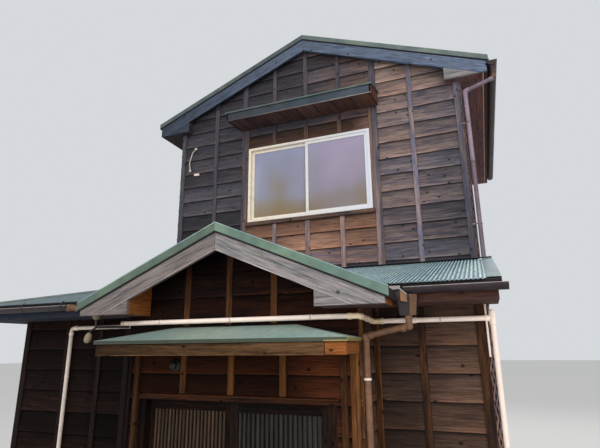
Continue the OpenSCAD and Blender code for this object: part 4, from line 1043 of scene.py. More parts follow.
def make_boards():
    under = MAIN_TOP_Z - MAIN_DECK - SEAT
    eave = under - MAIN_SLOPE * UPPER_X
    gable = [(-UPPER_X, eave), (0, under), (UPPER_X, eave)]
    bays = [k * MODULE for k in range(-12, 13)]
    side_bays = [UPPER_Y + 0.1 + k * MODULE for k in range(9)]
    left_bays = [k * MODULE for k in range(13)]
    window = (low("window_frame").x + 0.01, high("window_frame").x - 0.01,
              low("window_frame").z, high("window_frame").z)
    side_roof_z = side_top(-UPPER_X) - 0.02
    work = Joinery(11)
    lap_boards(work, (0, UPPER_Y, 0), X, -Y, side_roof_z, gable, UPPER_SEAM_Z, 0, bays, window, upper_look)
    give("upper_front_boards", work.mesh("upper_front_boards"), ("wall", "bare_wall"), slot="wall_boards",
         pick=lambda face: 1 if abs(face.center.x) < BAY_X and face.center.z < CANOPY_ROOT_Z + 0.03 else 0)
    work = Joinery(12)
    under = PORCH_TOP_Z - PORCH_DECK - SEAT
    eave = under - PORCH_SLOPE * PORCH_X
    lap_boards(work, (0, 0, 0), X, -Y, LINTEL_Z, [(-PORCH_X, eave), (0, under), (PORCH_X, eave)],
               LOWER_SEAM_Z, 0, [0.42, -0.42], None, porch_look)
    for side in (-1, 1):
        lap_boards(work, (side * PORCH_X, 0, 0), Y, X * side, FOOT_Z,
                   [(0, WING_EAVE_Z), (WING_Y, WING_EAVE_Z)], LOWER_SEAM_Z, 1)
        a, b = sorted((side * high("door_frame").x, side * (PORCH_X - 0.071)))
        lap_boards(work, (0, 0, 0), X, -Y, FOOT_Z, [(a, LINTEL_Z), (b, LINTEL_Z)], LOWER_SEAM_Z,
                   look=porch_look)
    give("porch_boards", work.mesh("porch_boards"), ("porch", "wing"), slot="wall_boards")
    work = Joinery(13)
    # the left wing takes the darker porch boards, as painted shade
    for mark, a, b in ((1, LEFT_X, -PORCH_X), (0, PORCH_X, UPPER_X)):
        lap_boards(work, (0, WING_Y, 0), X, -Y, FOOT_Z, [(a, WING_EAVE_Z), (b, WING_EAVE_Z)],
                   LOWER_SEAM_Z, mark, bays, None, wing_look)
    give("wing_boards", work.mesh("wing_boards"), ("wing", "porch"), slot="wall_boards")
    work = Joinery(14)
    lean = LEAN_DECK + SEAT
    for place, out, floor, top, seam, joints in (
            (UPPER_X, X, FOOT_Z, [(WING_Y, lean_top(WING_Y) - lean), (UPPER_Y, LEAN_TOP_Z - lean)],
             LOWER_SEAM_Z, bays),
            (UPPER_X, X, FOOT_Z, [(UPPER_Y, MAIN_EAVE_Z), (REAR_Y, MAIN_EAVE_Z)], LOWER_SEAM_Z, side_bays),
            (LEFT_X, -X, FOOT_Z, [(WING_Y, WING_EAVE_Z), (REAR_Y, WING_EAVE_Z)], LOWER_SEAM_Z, left_bays),
            (-UPPER_X, -X, side_roof_z, [(UPPER_Y, MAIN_EAVE_Z), (REAR_Y, MAIN_EAVE_Z)], UPPER_SEAM_Z,
             side_bays)):
        lap_boards(work, (place, 0, 0), Y, out, floor, top, seam, 0, joints)
    give("side_boards", work.mesh("side_boards"), ("wall",), slot="wall_boards")
    work = Joinery(15)
    for top in (gable, [(LEFT_X, side_top(LEFT_X) - lean), (-UPPER_X, side_top(-UPPER_X) - lean)]):
        lap_boards(work, (0, REAR_Y, 0), X, Y, FOOT_Z, top, LOWER_SEAM_Z, 0, bays)
    give("rear_boards", work.mesh("rear_boards"), ("wall",), slot="wall_boards")


class TOWNHOUSE_OT_boards(bpy.types.Operator):
    """Lays the lapped boards on every outside wall"""
    bl_idname = "townhouse.boards"
    bl_label = "Lapped boards"

    def execute(self, context):
        make_boards()
        return {"FINISHED"}


class TOWNHOUSE_OT_plain(bpy.types.Operator):
    """Finishes the walls' inner faces, the concrete and the inner timbers"""
    bl_idname = "townhouse.plain"
    bl_label = "Walls and floors"

    def execute(self, context):
        walls = ("porch_front_wall", "porch_side_walls", "front_wall_left", "front_wall_right", "left_wall",
                 "right_wall_front", "right_wall", "rear_wall", "rear_wall_left", "wall_left_of_window",
                 "wall_right_of_window", "wall_under_window", "upper_gable_wall", "upper_left_wall")
        for node in walls:
            finish_node(node, "plaster")
        for node in ("footing", "ground_floor"):
            finish_node(node, "concrete")
        for name, node, seed, fixed in (("inner_timbers", "inner_posts", 21, None),
                                        ("floor_beam_timbers", "floor_beams", 22, None),
                                        ("upper_floor_boards", "upper_floor", 23, Y)):
            dress(name, node, seed, ("inner",), "inner_timber", fixed=fixed)
        return {"FINISHED"}


# Battens and posts

def upper_batten_look(c):
    """Bare and pale beside and under the window, palest at the right where the sun is strongest."""
    right = c.x > 0
    if abs(c.x) < 0.93 and c.z < SPLASH_Z:
        return (1.3, 0.55) if c.x > 0.3 else (0.9, 0.4)
    if abs(c.x) < 0.8 and c.z < CANOPY_ROOT_Z:
        return 0.0, 1.2
    if abs(abs(c.x) - BAY_X) < 0.05 and c.z < 5.0:
        return (0.25, 0.6) if right else (0.0, 0.5)
    if c.x > 1.8:
        return (0.1, 0.0) if c.z < SPLASH_Z else (0.45, 0.0)
    if c.x > 0.95:
        return (1.5, 0.35) if c.z < SPLASH_Z else (0.6, 0.0)
    return 0.1, 0.0


def lower_batten_look(c):
    """Redder by the door, darker high up under the gable as painted shade, darkest on the left."""
    right = c.x > 0
    if c.y > 0.2:
        return (0.15, 0.2) if right else (-0.15, -0.2)
    if abs(c.x) > 0.9:
        return (0.45, 0.8) if right else (-0.3, -0.3)
    if c.z < 2.3:
        return (0.1, 1.3) if c.x > -0.2 else (-0.15, 0.8)
    return (0.25, 0.8) if c.z < 2.75 else (-0.05, 0.5)


def door_post_look(c):
    return (0.4, 0.6) if c.x > 0 else (-0.3, -0.2)


def side_battens():
    """The battens of the sides and the rear, with the casings beside the window."""
    s = sizes()
    t = s.batten_t
    work = Joinery(35)

    def batten(x, y, z0, z1, out, w=s.batten_w, **kind):
        x, y = x + out.x * t / 2, y + out.y * t / 2
        work.plank((x, y, z0), (x, y, z1), w, t, Z.cross(out), out, **kind)

    work.red = 0.2
    side_roof_z = side_top(-UPPER_X) + 0.012
    for k in range(1, 4):
        y = WING_Y + k * MODULE - 0.1
        batten(UPPER_X, y, FOOT_Z, lean_top(y - s.batten_w) - LEAN_DECK, X)
    for k in range(9):
        y = UPPER_Y + 0.1 + k * MODULE
        if y < REAR_Y - 0.06:
            batten(UPPER_X, y, FOOT_Z, MAIN_EAVE_Z, X)
            batten(-UPPER_X, y, side_roof_z, MAIN_EAVE_Z, -X)
    for k in range(1, 12):
        batten(LEFT_X, WING_Y + k * MODULE - 0.1, FOOT_Z, WING_EAVE_Z, -X)
    for k in range(-3, 4):
        x = k * MODULE
        batten(x, REAR_Y, FOOT_Z, main_top(abs(x) + s.batten_w / 2) - MAIN_DECK - 0.002, Y)
    for k in range(1, 3):
        x = LEFT_X + k * MODULE - 0.1
        batten(x, REAR_Y, FOOT_Z, side_top(x - s.batten_w / 2) - LEAN_DECK - 0.002, Y)
    # corner boards at the rear, each pair lapped
    w = 0.07
    for x, out, foot, top, rear_foot in ((UPPER_X, 1, FOOT_Z, MAIN_EAVE_Z, FOOT_Z),
                                         (LEFT_X, -1, FOOT_Z, WING_EAVE_Z, FOOT_Z),
                                         (-UPPER_X, -1, side_roof_z, MAIN_EAVE_Z, FOOT_Z)):
        batten(x, REAR_Y - w / 2 + t, foot, top, X * out, w)
        batten(x - out * w / 2, REAR_Y, rear_foot, top, Y, w)
    # casing boards beside the window
    z0, z1 = low("window_frame").z, low("upper_canopy_frame").z + 0.03
    for side, tone in ((-1, 0.0), (1, 0.35)):
        batten(side * (high("window_frame").x + 0.015), UPPER_Y, z0, z1, -Y, 0.03, tone=tone, red=1.1)
    # a light strip along the right eave's lower edge, with a dark one inside it
    x, y0, y1 = high("main_eaves").x, low("main_eaves").y + 0.002, high("main_eaves").y - 0.002
    for at, w, tone in ((x - 0.0455, 0.013, 2.1), (x - 0.0205, 0.037, -0.3)):
        work.plank((at, y0, MAIN_EAVE_Z), (at, y1, MAIN_EAVE_Z), w, 0.005, X, -Z, tone, red=1.0,
                   bevel=0.001)
    give("side_battens", work.mesh("side_battens"), ("batten",), slot="trim_boards")


def corner_strips():
    """Thin strips that cover the porch's corners and the joint with the wing."""
    work = Joinery(37)
    top = low("lower_canopy_frame").z
    for x, w, depth, tone, red in ((1.046, 0.018, 0.012, 0.8, 1.0), (1.002, 0.012, 0.008, 0.7, 0.6),
                                   (0.945, 0.045, 0.024, -0.05, 0.8), (-0.92, 0.045, 0.024, -0.22, 0.95),
                                   (-1.04, 0.03, 0.012, -0.3, -0.3)):
        # outside the posts they lie on boards, which stand further off than the casing
        face = 0.025 if abs(x) > 0.99 else 0.018
        y = -face - depth / 2 + 0.006
        work.plank((x, y, FOOT_Z), (x, y, top), w, depth + 0.012, X, -Y, tone, red=red)
    x = PORCH_X + 0.014
    for y, w, tone, red in ((0.03, 0.05, 0.4, 0.9), (0.10, 0.03, 0.1, 0.5)):
        work.plank((x, y, FOOT_Z), (x, y, WING_EAVE_Z), w, 0.024, Y, X, tone, red=red)
    y = WING_Y - 0.014
    for x, w, tone, red in ((PORCH_X + 0.032, 0.04, 0.05, 0.7), (PORCH_X + 0.056, 0.008, 0.8, 0.6),
                            (-PORCH_X - 0.032, 0.04, 0.0, 0.0)):
        work.plank((x, y, FOOT_Z), (x, y, WING_EAVE_Z), w, 0.026, X, -Y, tone, red=red)
    give("corner_strips", work.mesh("corner_strips"), ("low_batten",), slot="trim_boards")


def notched_battens():
    """Battens at the outer corners: narrow strips that step in and out with the laps, in front of a dark
    backing batten."""
    s = sizes()
    work = Joinery(36)

    def toothed(x, side, y, z0, z1, seam, centre, turned, tone):
        jump, half = work.jump(), s.board_pitch / 2
        levels = [seam + half * n for n in range(60) if z0 + 0.01 < seam + half * n < z1 - 0.01]
        rings = []
        for z in [z0] + levels + [z1]:
            swing = s.tooth / 2 * math.cos(2 * math.pi * (z - seam) / s.board_pitch) * (1 if turned else -1)
            mid = x + side * (centre + swing)
            rings.append([work.corner((mid + side * d, y + e, z), jump + Vector((z, d, e)), tone)
                          for d, e in ((-0.005, 0), (0.005, 0), (0.005, 0.014), (-0.005, 0.014))])
        if side < 0:
            rings.reverse()
        work.loft(rings)

    wing_top, side_roof_z = lean_top(WING_Y) - LEAN_DECK - 0.004, side_top(-UPPER_X) + 0.012
    for x, side, wall_y, z0, z1, seam, tone, reach in (
            (UPPER_X, 1, WING_Y, FOOT_Z, wing_top, LOWER_SEAM_Z, 1.2, 0.062),
            (LEFT_X, -1, WING_Y, FOOT_Z, WING_EAVE_Z, LOWER_SEAM_Z, 0.0, 0.025),
            (UPPER_X, 1, UPPER_Y, LEAN_TOP_Z + 0.02, MAIN_EAVE_Z, LOWER_SEAM_Z, 0.75, 0.05),
            (-UPPER_X, -1, UPPER_Y, side_roof_z, MAIN_EAVE_Z, UPPER_SEAM_Z, 0.0, 0.045)):
        work.red = 0.7 if tone > 0.5 else 0.3
        for centre in (0.032, 0.056):
            for turned in (False, True):
                if centre < reach:
                    y = wall_y + 0.001 + (0.014 if turned else 0)
                    toothed(x, side, y, z0, z1, seam, centre, turned, tone)
        mid, y = x + side * reach / 2, wall_y + 0.045
        work.plank((mid, y, z0), (mid, y, z1), reach, 0.03, X, -Y, 0.0, red=0.1)
    give("notched_corner_battens", work.mesh("notched_corner_battens"), ("batten",), slot="trim_boards")


def give_heads(name, heads, outs, radius, height, slot):
    """Steel heads on points, as one piece."""
    made = grow(name, heads_rule("steel"), points_mesh(name + "_points", heads, outs),
                {"Radius": radius, "Height": height})
    give(name, made, ("steel",), slot=slot)


def nail_heads():
    """A nail in each board where a batten of the upper front crosses it, and two rows down each barge
    board."""
    s = sizes()
    heads = []
    for k in range(-3, 4):
        x = k * MODULE
        for n in range(16, 30):
            z = UPPER_SEAM_Z + s.board_pitch * n + 0.03
            on_wall = front_roof_line(x) + 0.05 <= z <= main_top(x) - MAIN_DECK - 0.2
            at_window = abs(x) < 0.95 and low("window_frame").z - 0.06 < z < high("window_frame").z + 0.02
            at_canopy = abs(x) < 1.0 and (low("upper_canopy_frame").z - 0.02 < z
                                          < high("upper_canopy_roof").z + 0.02)
            if on_wall and not at_window and not at_canopy:
                heads.append((x, UPPER_Y - s.batten_t - 0.0005, z))
    for node, slope, apex in (("main_barge_boards", MAIN_SLOPE, MAIN_TOP_Z - MAIN_DECK),
                              ("porch_barge_boards", PORCH_SLOPE, PORCH_TOP_Z - PORCH_DECK)):
        y, span = low(node).y, high(node).x
        for k in range(1, int(span / 0.42) + 1):
            for side in (-1, 1):
                for drop, shift in ((0.045, 0), (0.11, 0.02)):
                    x = side * (k * 0.42 + shift)
                    if abs(x) < span - 0.03:
                        heads.append((x, y - 0.0005, apex - slope * abs(x) - drop))
    give_heads("nail_heads", heads, [(0, -1, 0)] * len(heads), s.nail_r, 0.0015, "trim_boards")


class TOWNHOUSE_OT_battens(bpy.types.Operator):
    """Sets the battens, corner boards and posts, with their nails"""
    bl_idname = "townhouse.battens"
    bl_label = "Battens and posts"

    def execute(self, context):
        for name, node, seed, finish, slot, kind in (
                ("front_battens", "upper_battens", 31, "batten", "trim_boards",
                 {"look": upper_batten_look, "ends": True}),
                ("porch_battens", "lower_battens", 32, "low_batten", "trim_boards",
                 {"look": lower_batten_look, "ends": True}),
                ("door_posts", "porch_posts", 33, "door_wood", "wall_boards",
                 {"look": door_post_look, "fixed": Z}),
                ("sill_board", "window_sill", 34, "batten", "trim_boards",
                 {"look": lambda c: (0.0, 0.9)})):
            dress(name, node, seed, (finish,), slot, bevel=0.004, **kind)
        side_battens()
        corner_strips()
        notched_battens()
        nail_heads()
        return {"FINISHED"}


# Eaves

# Thickness of the barge boards, and how far the raking boards stand in from the lean-to roofs' edges
BARGE_T, VERGE_IN = 0.03, 0.037


def rake_boards(work, node, slope, apex, depth, box_x, y, out, looks, right_panel=0):
    """Barge boards down both sides of a gable, with a panel over the end of each boxed eave. looks gives
    the left side's tone and warmth, then the right side's."""
    end, foot = high(node).x, low(node).z
    seam = (apex - depth - foot) / slope

    def at(x, z, side):
        return Vector((side * x, y, z))

    for side, (tone, red) in zip((-1, 1), looks):
        work.red = red
        rake = Vector((side, 0, -slope))
        corners = [(0.0008, apex), (end, apex - slope * end), (end, foot), (seam, foot),
                   (0.0008, apex - depth)]
        work.slab([at(x, z, side) for x, z in corners], Y * out, BARGE_T, rake, tone)
        panel = [(box_x, apex - slope * box_x - depth - 0.001), (seam - 0.003, foot), (box_x, foot)]
        if right_panel and side > 0:
            work.red = 0.2
        work.slab([at(x, z, side) for x, z in panel], Y * out, BARGE_T - 0.001, X, tone - 0.1,
                  right_panel if side > 0 else 0, 0.002)
        # a painted highlight along the lower edge: a paler strip half a millimetre proud
        up = Vector((side * slope, 0, 1)).normalized() * 0.005
        edge = Vector((0, out * 0.0005, 0))
        work.plank(at(0.002, apex - depth - 0.0009, side) + up + edge,
                   at(seam - 0.004, foot, side) + up + edge, 0.008, 0.003, up.normalized(), Y * out,
                   tone + 0.55, bevel=0.001)


class TOWNHOUSE_OT_eaves(bpy.types.Operator):
    """Builds the barge boards and finishes the boxed eaves and soffits"""
    bl_idname = "townhouse.eaves"
    bl_label = "Eaves and barge boards"

    def execute(self, context):
        node = "main_barge_boards"
        work = Joinery(41)
        for y, out in ((low(node).y, -1), (high(node).y, 1)):
            rake_boards(work, node, MAIN_SLOPE, MAIN_TOP_Z - MAIN_DECK - 0.0003, 0.163, UPPER_X - 0.13, y,
                        out, ((0.4, 1.1), (0.35, 1.1)), right_panel=1)
        # darker down the left slope, paler down the right
        work.tone = [tone + (0.25 if point[0] < 0 else 0.1) * point[0] for tone, point in
                     zip(work.tone, work.points)]
        give("main_barges", work.mesh("main_barges"), ("main_barge", "barge"), node, slot="barge_boards")
        node = "porch_barge_boards"
        work = Joinery(42)
        rake_boards(work, node, PORCH_SLOPE, PORCH_TOP_Z - PORCH_DECK - 0.0003, 0.145, PORCH_X - 0.23,
                    low(node).y, -1, ((0.2, 0.45), (0.45, 0.2)))
        give("porch_barges", work.mesh("porch_barges"), ("barge",), node, slot="barge_boards")
        # the right eave's boards are paler and the left eave's darker: painted light and painted shade
        dress("main_eave_boxes", "main_eaves", 43, ("eave",), "eave_boards", fixed=Y,
              look=lambda c: (1.3, 0.5) if c.x > 0 else (0.15, 0.1))
        dress("porch_eave_boxes", "porch_eaves", 44, ("orange", "eave"), "eave_boards", fixed=Y,
              tones=(0.45, 0.6), pick=lambda face: 1 if face.normal.z < -0.5 else 0)
        dress("lean_to_eave_boards", "lean_to_eaves", 45, ("fascia", "main_barge"), "eave_boards",
              look=lambda c: (0.2, 0.8) if c.x > 0 else (-0.1, -0.2),
              pick=lambda face: 1 if face.center.x < 0 else 0)
        # raking boards under the lean-to roofs' free edges, at the right and at the rear
        work = Joinery(46)
        drop, over = LEAN_DECK + 0.056, 0.052
        x, y0, y1 = LEAN_X1 - VERGE_IN, LEAN_Y0 + over, UPPER_Y - 0.001
        rake = Vector((0, 1, LEAN_SLOPE)).normalized()
        work.plank((x, y0, lean_top(y0) - drop), (x, y1, lean_top(y1) - drop), 0.105, 0.024,
                   X.cross(rake), X, 0.5)
        y, x0, x1 = REAR_VERGE_Y - VERGE_IN, LEAN_X0 + over, SIDE_ROOF_X
        rake = Vector((1, 0, LEAN_SLOPE)).normalized()
        work.plank((x0, y, side_top(x0) - drop), (x1, y, side_top(x1) - drop), 0.105, 0.024,
                   Y.cross(rake), Y, 0.5)
        give("raking_boards", work.mesh("raking_boards"), ("fascia",), slot="eave_boards")
        return {"FINISHED"}


# Roofs

# Thickness of folded sheet, and the tone of the sheets that lie in the shade
FOLDED_T, SHADE_TONE = 0.0015, -0.19
# Where the porch roof's valleys end at the upper wall
VALLEY_END_X = max(valley_x(UPPER_Y), 0)


def lay_sheet(name, finish, slot, origin, across, down, width, run, cuts=(), tone=0.5):
    """A corrugated sheet lying on a slope, trimmed by upright planes, each (point, outward way)."""
    s = sizes()
    across, down = Vector(across).normalized(), Vector(down).normalized()
    up = slope_normal(across, down)
    columns = max(9, round(width / s.wave * 8) + 1)
    made = grow(name, sheet_rule(finish), bpy.data.meshes.new(name + "_blank"), {
        "Width": width, "Run": run, "Wave": s.wave, "Depth": s.wave_h, "Columns": columns, "Rows": 3,
        "Tone": tone})
    centre = Vector(origin) + across * width / 2 + down * run / 2 + up * (s.wave_h / 2 + 0.001)
    turn = Matrix((across, down, up)).transposed().to_4x4()
    made.transform(Matrix.Translation(centre) @ turn)
    work = bmesh.new()
    work.from_mesh(made)
    if across.cross(down).z < 0:
        bmesh.ops.reverse_faces(work, faces=work.faces)
    for point, way in cuts:
        geom = work.verts[:] + work.edges[:] + work.faces[:]
        bmesh.ops.bisect_plane(work, geom=geom, dist=1e-5, plane_co=point, plane_no=way, clear_outer=True)
    bmesh.ops.solidify(work, geom=work.faces[:], thickness=0.001)
    work.to_mesh(made)
    work.free()
    give(name, made, (finish,), slot=slot, smooth=60)


def slope_normal(across, down):
    up = across.cross(down)
    return up if up.z > 0 else -up


def valley_cut(side, keep, back):
    """An upright plane along a valley of the porch roof, back from it by a strip of flat sheet. keep is 1
    for the porch roof's side of the valley and -1 for the lean-to roof's."""
    a = Vector((side * valley_x(LEAN_Y0), LEAN_Y0, 0))
    b = Vector((side * VALLEY_END_X, UPPER_Y, 0))
    out = (b - a).cross(Z)
    out = out if out.x * side * keep > 0 else -out
    return a - out.normalized() * back, out


def angle_strip(work, start, end, down, out, top_w, face_h, mark=0, tone=0.5):
    """A folded strip along an edge: a flat top leaf and a leaf that hangs over the face, with a hem."""
    start, end, down, out = map(Vector, (start, end, down, out))
    t = FOLDED_T
    line = [-out * top_w, Vector(), down * face_h, down * face_h - out * 0.006 + down * 0.003]
    outer = [line[0] - down * t, -down * t + out * t, down * face_h + out * t, line[3] + down * t]
    ring = line + outer[::-1]
    rings = [[work.corner(base + p, (0, 0, 0), tone) for p in ring] for base in (start, end)]
    if (end - start).cross(down).dot(out) > 0:
        rings.reverse()
    work.loft(rings, mark)


def lay_sheets():
    """Corrugated sheets on every slope, short of the edge flashings and the valleys, and their screws."""
    s = sizes()
    heads, outs = [], []

    def screws(start, across, down, run, width, rows=3):
        step = s.wave * 4
        across, down = Vector(across).normalized(), Vector(down).normalized()
        up = slope_normal(across, down)
        for r in range(rows):
            base = Vector(start) + down * (0.06 + (run - 0.12) * r / (rows - 1))
            for i in range(int(width / step)):
                heads.append(base + across * step * (i + 0.5) + up * (s.wave_h + 0.002))
                outs.append(tuple(up))

    lap = 0.07
    for side, hand in ((-1, "left"), (1, "right")):
        down = Vector((side, 0, -MAIN_SLOPE)).normalized()
        run = math.hypot(MAIN_X1, MAIN_SLOPE * MAIN_X1) + 0.012
        width = MAIN_Y1 - MAIN_Y0 - 2 * lap
        start = Vector((0, MAIN_Y0 + lap, MAIN_TOP_Z))
        lay_sheet("main_sheets_" + hand, "lean_y", "roof_sheet", start, Y, down, width, run)
        screws(start, Y, down, run, width)
    for side, hand in ((-1, "left"), (1, "right")):
        down = Vector((side, 0, -PORCH_SLOPE)).normalized()
        run = math.hypot(PORCH_ROOF_X, PORCH_SLOPE * PORCH_ROOF_X) + 0.006
        lay_sheet("porch_sheets_" + hand, "lean_y", "roof_sheet", (0, PORCH_Y0 + lap, PORCH_TOP_Z), Y, down,
                  UPPER_Y - PORCH_Y0 - lap, run,
                  [valley_cut(side, 1, 0.06), ((0, UPPER_Y - 0.03, 0), (0, 1, 0))])
    # lean-to roofs at the front, the left one cut along its hip
    down = Vector((0, -1, -LEAN_SLOPE)).normalized()
    run = (UPPER_Y - LEAN_Y0) * math.hypot(1, LEAN_SLOPE) + 0.018
    for side, hand, x, width, tone, hip in (
            (1, "right", 0, LEAN_X1 - 0.095, 0.5, []),
            (-1, "left", LEAN_X0, -LEAN_X0, SHADE_TONE, [((LEAN_X0 + 0.03, LEAN_Y0, 0), (-1, 1, 0))])):
        cuts = [valley_cut(side, -1, 0.05), ((0, UPPER_Y - 0.018, 0), (0, 1, 0))] + hip
        lay_sheet("lean_to_sheets_" + hand, "lean_x", "lean_to_sheet", (x, UPPER_Y, LEAN_TOP_Z), X, down,
                  width, run, cuts, tone)
    near = valley_x(LEAN_Y0)
    screws((near + 0.12, LEAN_Y0, LEAN_EAVE_Z), X, (0, 1, LEAN_SLOPE), 0.5, LEAN_X1 - near - 0.2, 2)
    # lean-to roof at the left side: the hip's part, then the part beside the upper storey
    down = Vector((-1, 0, -LEAN_SLOPE)).normalized()
    past = 0.0165
    lay_sheet("side_sheets_front", "lean_y", "lean_to_sheet", (HIP_X, LEAN_Y0, side_top(HIP_X)), Y, down,
              REAR_VERGE_Y - 0.09, (HIP_X - LEAN_X0) * math.hypot(1, LEAN_SLOPE) + past,
              [((LEAN_X0, LEAN_Y0 + 0.03, 0), (1, -1, 0)), ((0, UPPER_Y, 0), (0, 1, 0))], SHADE_TONE)
    start = Vector((SIDE_ROOF_X, UPPER_Y, side_top(SIDE_ROOF_X)))
    run = (SIDE_ROOF_X - LEAN_X0) * math.hypot(1, LEAN_SLOPE) + past
    width = REAR_VERGE_Y - UPPER_Y - 0.09
    lay_sheet("side_sheets", "lean_y", "lean_to_sheet", start, Y, down, width, run)
    screws(start, Y, down, run, width)
    return heads, outs


def flashings():
    """Folded strips on the verges, upstands against the upper storey's walls, and the hip cap."""
    work = Joinery(55)
    lift = sizes().wave_h + 0.0025
    for side in (-1, 1):
        right = side > 0
        # the verges' left slopes take a darker tone as painted shade, and their right slopes a paler one as
        # painted light
        for apex, slope, edge, deck, ys, mark, tone in (
                (MAIN_TOP_Z, MAIN_SLOPE, MAIN_X1, MAIN_DECK, ((MAIN_Y0, -1), (MAIN_Y1, 1)), 2,
                 0.5 if right else 0.15),
                (PORCH_TOP_Z, PORCH_SLOPE, PORCH_ROOF_X, PORCH_DECK, ((PORCH_Y0, -1),), 0,
                 0.6 if right else 0.15)):
            for y, out in ys:
                a = Vector((0, y + out * 0.002, apex + lift))
                b = Vector((side * edge, y + out * 0.002, apex - slope * edge + lift))
                angle_strip(work, a, b, -Z, Y * out, 0.085, deck + lift - 0.014, mark, tone)
                if mark == 0:
                    # a painted highlight along the upper edge
                    worn = Vector((0, -0.001, -0.003))
                    work.plank(a + worn, b + worn, 0.005, 0.003, Z, -Y, 0.8 if right else 1.0, 1, 0.001)
    # verges of the lean-to roofs, at the right and at the rear
    hang = LEAN_DECK + lift + 0.012
    x, y = LEAN_X1 + 0.002, REAR_VERGE_Y + 0.002
    angle_strip(work, (x, LEAN_Y0, LEAN_EAVE_Z + lift), (x, UPPER_Y, LEAN_TOP_Z + lift), -Z, X, 0.1, hang, 1)
    angle_strip(work, (LEAN_X0, y, LEAN_EAVE_Z + lift),
                (SIDE_ROOF_X, y, side_top(SIDE_ROOF_X) + lift), -Z, Y, 0.1, hang, 1)
    # upstands where the lean-to roofs meet the upper storey
    y, z = UPPER_Y - 0.017, LEAN_TOP_Z + lift + 0.001
    for a, b in ((-VALLEY_END_X, HIP_X), (LEAN_X1, VALLEY_END_X)):
        angle_strip(work, (a, y, z), (b, y, z), Z, Y, 0.05, 0.008, 2, -0.35)
    x = SIDE_ROOF_X - 0.001
    angle_strip(work, (x, UPPER_Y, side_top(x) + lift), (x, REAR_Y + 0.03, side_top(x) + lift), Z, X, 0.05,
                0.02, 1)
    # hip cap, 45 mm wide on each side
    foot = LEAN_X0 + 0.027
    a = Vector((foot, LEAN_Y0 + 0.027, side_top(foot) + lift))
    b = Vector((HIP_X, UPPER_Y, LEAN_TOP_Z + lift))
    left, right = Vector((-0.045, 0.045, -0.011)), Vector((0.045, -0.045, -0.011))
    section = (left, Z * 0.012, right, right + Z * 0.003, Z * 0.015, left + Z * 0.003)
    work.loft([[work.corner(base + p, (0, 0, 0), 0.5) for p in section] for base in (a, b)])
    made = work.mesh("flashings")
    fixed = bmesh.new()
    fixed.from_mesh(made)
    bmesh.ops.recalc_face_normals(fixed, faces=fixed.faces)
    fixed.to_mesh(made)
    fixed.free()
    give("flashings", made, ("roof", "flat", "verge"), slot="roof_sheet")


class TOWNHOUSE_OT_roofs(bpy.types.Operator):
    """Lays the roof decks, corrugated sheets, flashings, caps and screws"""
    bl_idname = "townhouse.roofs"
    bl_label = "Roofs"

    def execute(self, context):
        # a deck has flat sheet on top, and boards at its edges and underside; the whole deck is darkened as
        # painted shade
        for node, seed, along in (("main_roof", 51, Y), ("porch_roof", 52, Y), ("lean_to_roofs", 53, X)):
            dress(node + "_deck", node, seed, ("eave", "flat"), "roof_sheet", bevel=0.002, fixed=along,
                  look=lambda c: (-0.15, -0.3), pick=lambda face: 1 if face.normal.z > 0.3 else 0)
        dress("ridge_cap_sheets", "ridge_caps", 54, ("roof",), "roof_sheet", bevel=0.002,
              tones=(0.45, 0.55))
        heads, outs = lay_sheets()
        flashings()
        give_heads("roof_screws", heads, outs, 0.006, 0.003, "roof_sheet")
        return {"FINISHED"}


# Canopies

# Where the door canopy's mended end begins
PATCH_X = 0.915


def box_face(x0, x1, y, z0, z1):
    """Corners of an upright face across the front, at one depth."""
    return [(x0, y, z0), (x1, y, z0), (x1, y, z1), (x0, y, z1)]


def side_face(x, y0, y1, z0, z1):
    """Corners of an upright face across a side, at one place."""
    return [(x, y0, z0), (x, y1, z0), (x, y1, z1), (x, y0, z1)]


def window_canopy():
    """Boards and rafters under the sheet, its sides, and the band across its front."""
    a, b = low("upper_canopy_frame"), high("upper_canopy_frame")
    sheet = low("upper_canopy_roof")
    wall, front = b.y, a.y
    head, foot, root = sheet.z + 0.0046, a.z, CANOPY_ROOT_Z + 0.021
    work = Joinery(64)
    rake = Vector((0, wall - front, root - foot)).normalized()
    down = -slope_normal(X, rake)
    count = 8
    step = (b.x - a.x - 0.05) / count
    for i in range(count):
        x = a.x + 0.025 + step * (i + 0.5)
        work.plank((x, front + 0.02, foot + 0.012), (x, wall - 0.002, root + 0.006), step - 0.004, 0.012, X,
                   down, 0.5 + 0.5 * work.chance.random(), bevel=0.002, red=0.3 + 0.05 * i)
        if i:
            x -= step / 2
            work.plank((x, front + 0.02, foot + 0.006), (x, wall - 0.002, root), 0.02, 0.02, X, down, 0.5,
                       bevel=0.002, red=0.3)
    for x, out, tone, red in ((a.x, -X, 0.1, 0.1), (b.x, X, 0.4, 1.0)):
        work.slab([(x, front, foot), (x, wall, root), (x, wall, b.z), (x, front, head)], out, 0.022, Y,
                  tone, bevel=0.003, red=red)
    give("window_canopy_boards", work.mesh("window_canopy_boards"), ("fascia",), "upper_canopy_frame",
         slot="trim_boards")
    work = Joinery(65)
    x0, x1 = a.x + 0.001, b.x - 0.001
    work.slab(box_face(x0, x1, front, foot + 0.010, head), -Y, 0.02, X, 0.5, 1)
    work.plank((x0, front + 0.003, foot + 0.005), (x1, front + 0.003, foot + 0.005), 0.010, 0.012, Z, -Y,
               0.15, 2, 0.002)
    x0, x1, y, z = a.x - 0.017, b.x + 0.017, sheet.y + 0.0035, sheet.z + 0.006
    work.plank((x0, y, z), (x1, y, z), 0.013, 0.006, Z, -Y, 0.7, 0, 0.002)
    # paler towards the right
    work.tone = [tone + 0.4 * point[0] for tone, point in zip(work.tone, work.points)]
    give("window_canopy_band", work.mesh("window_canopy_band"), ("verge", "band", "rim"), slot="trim_boards")


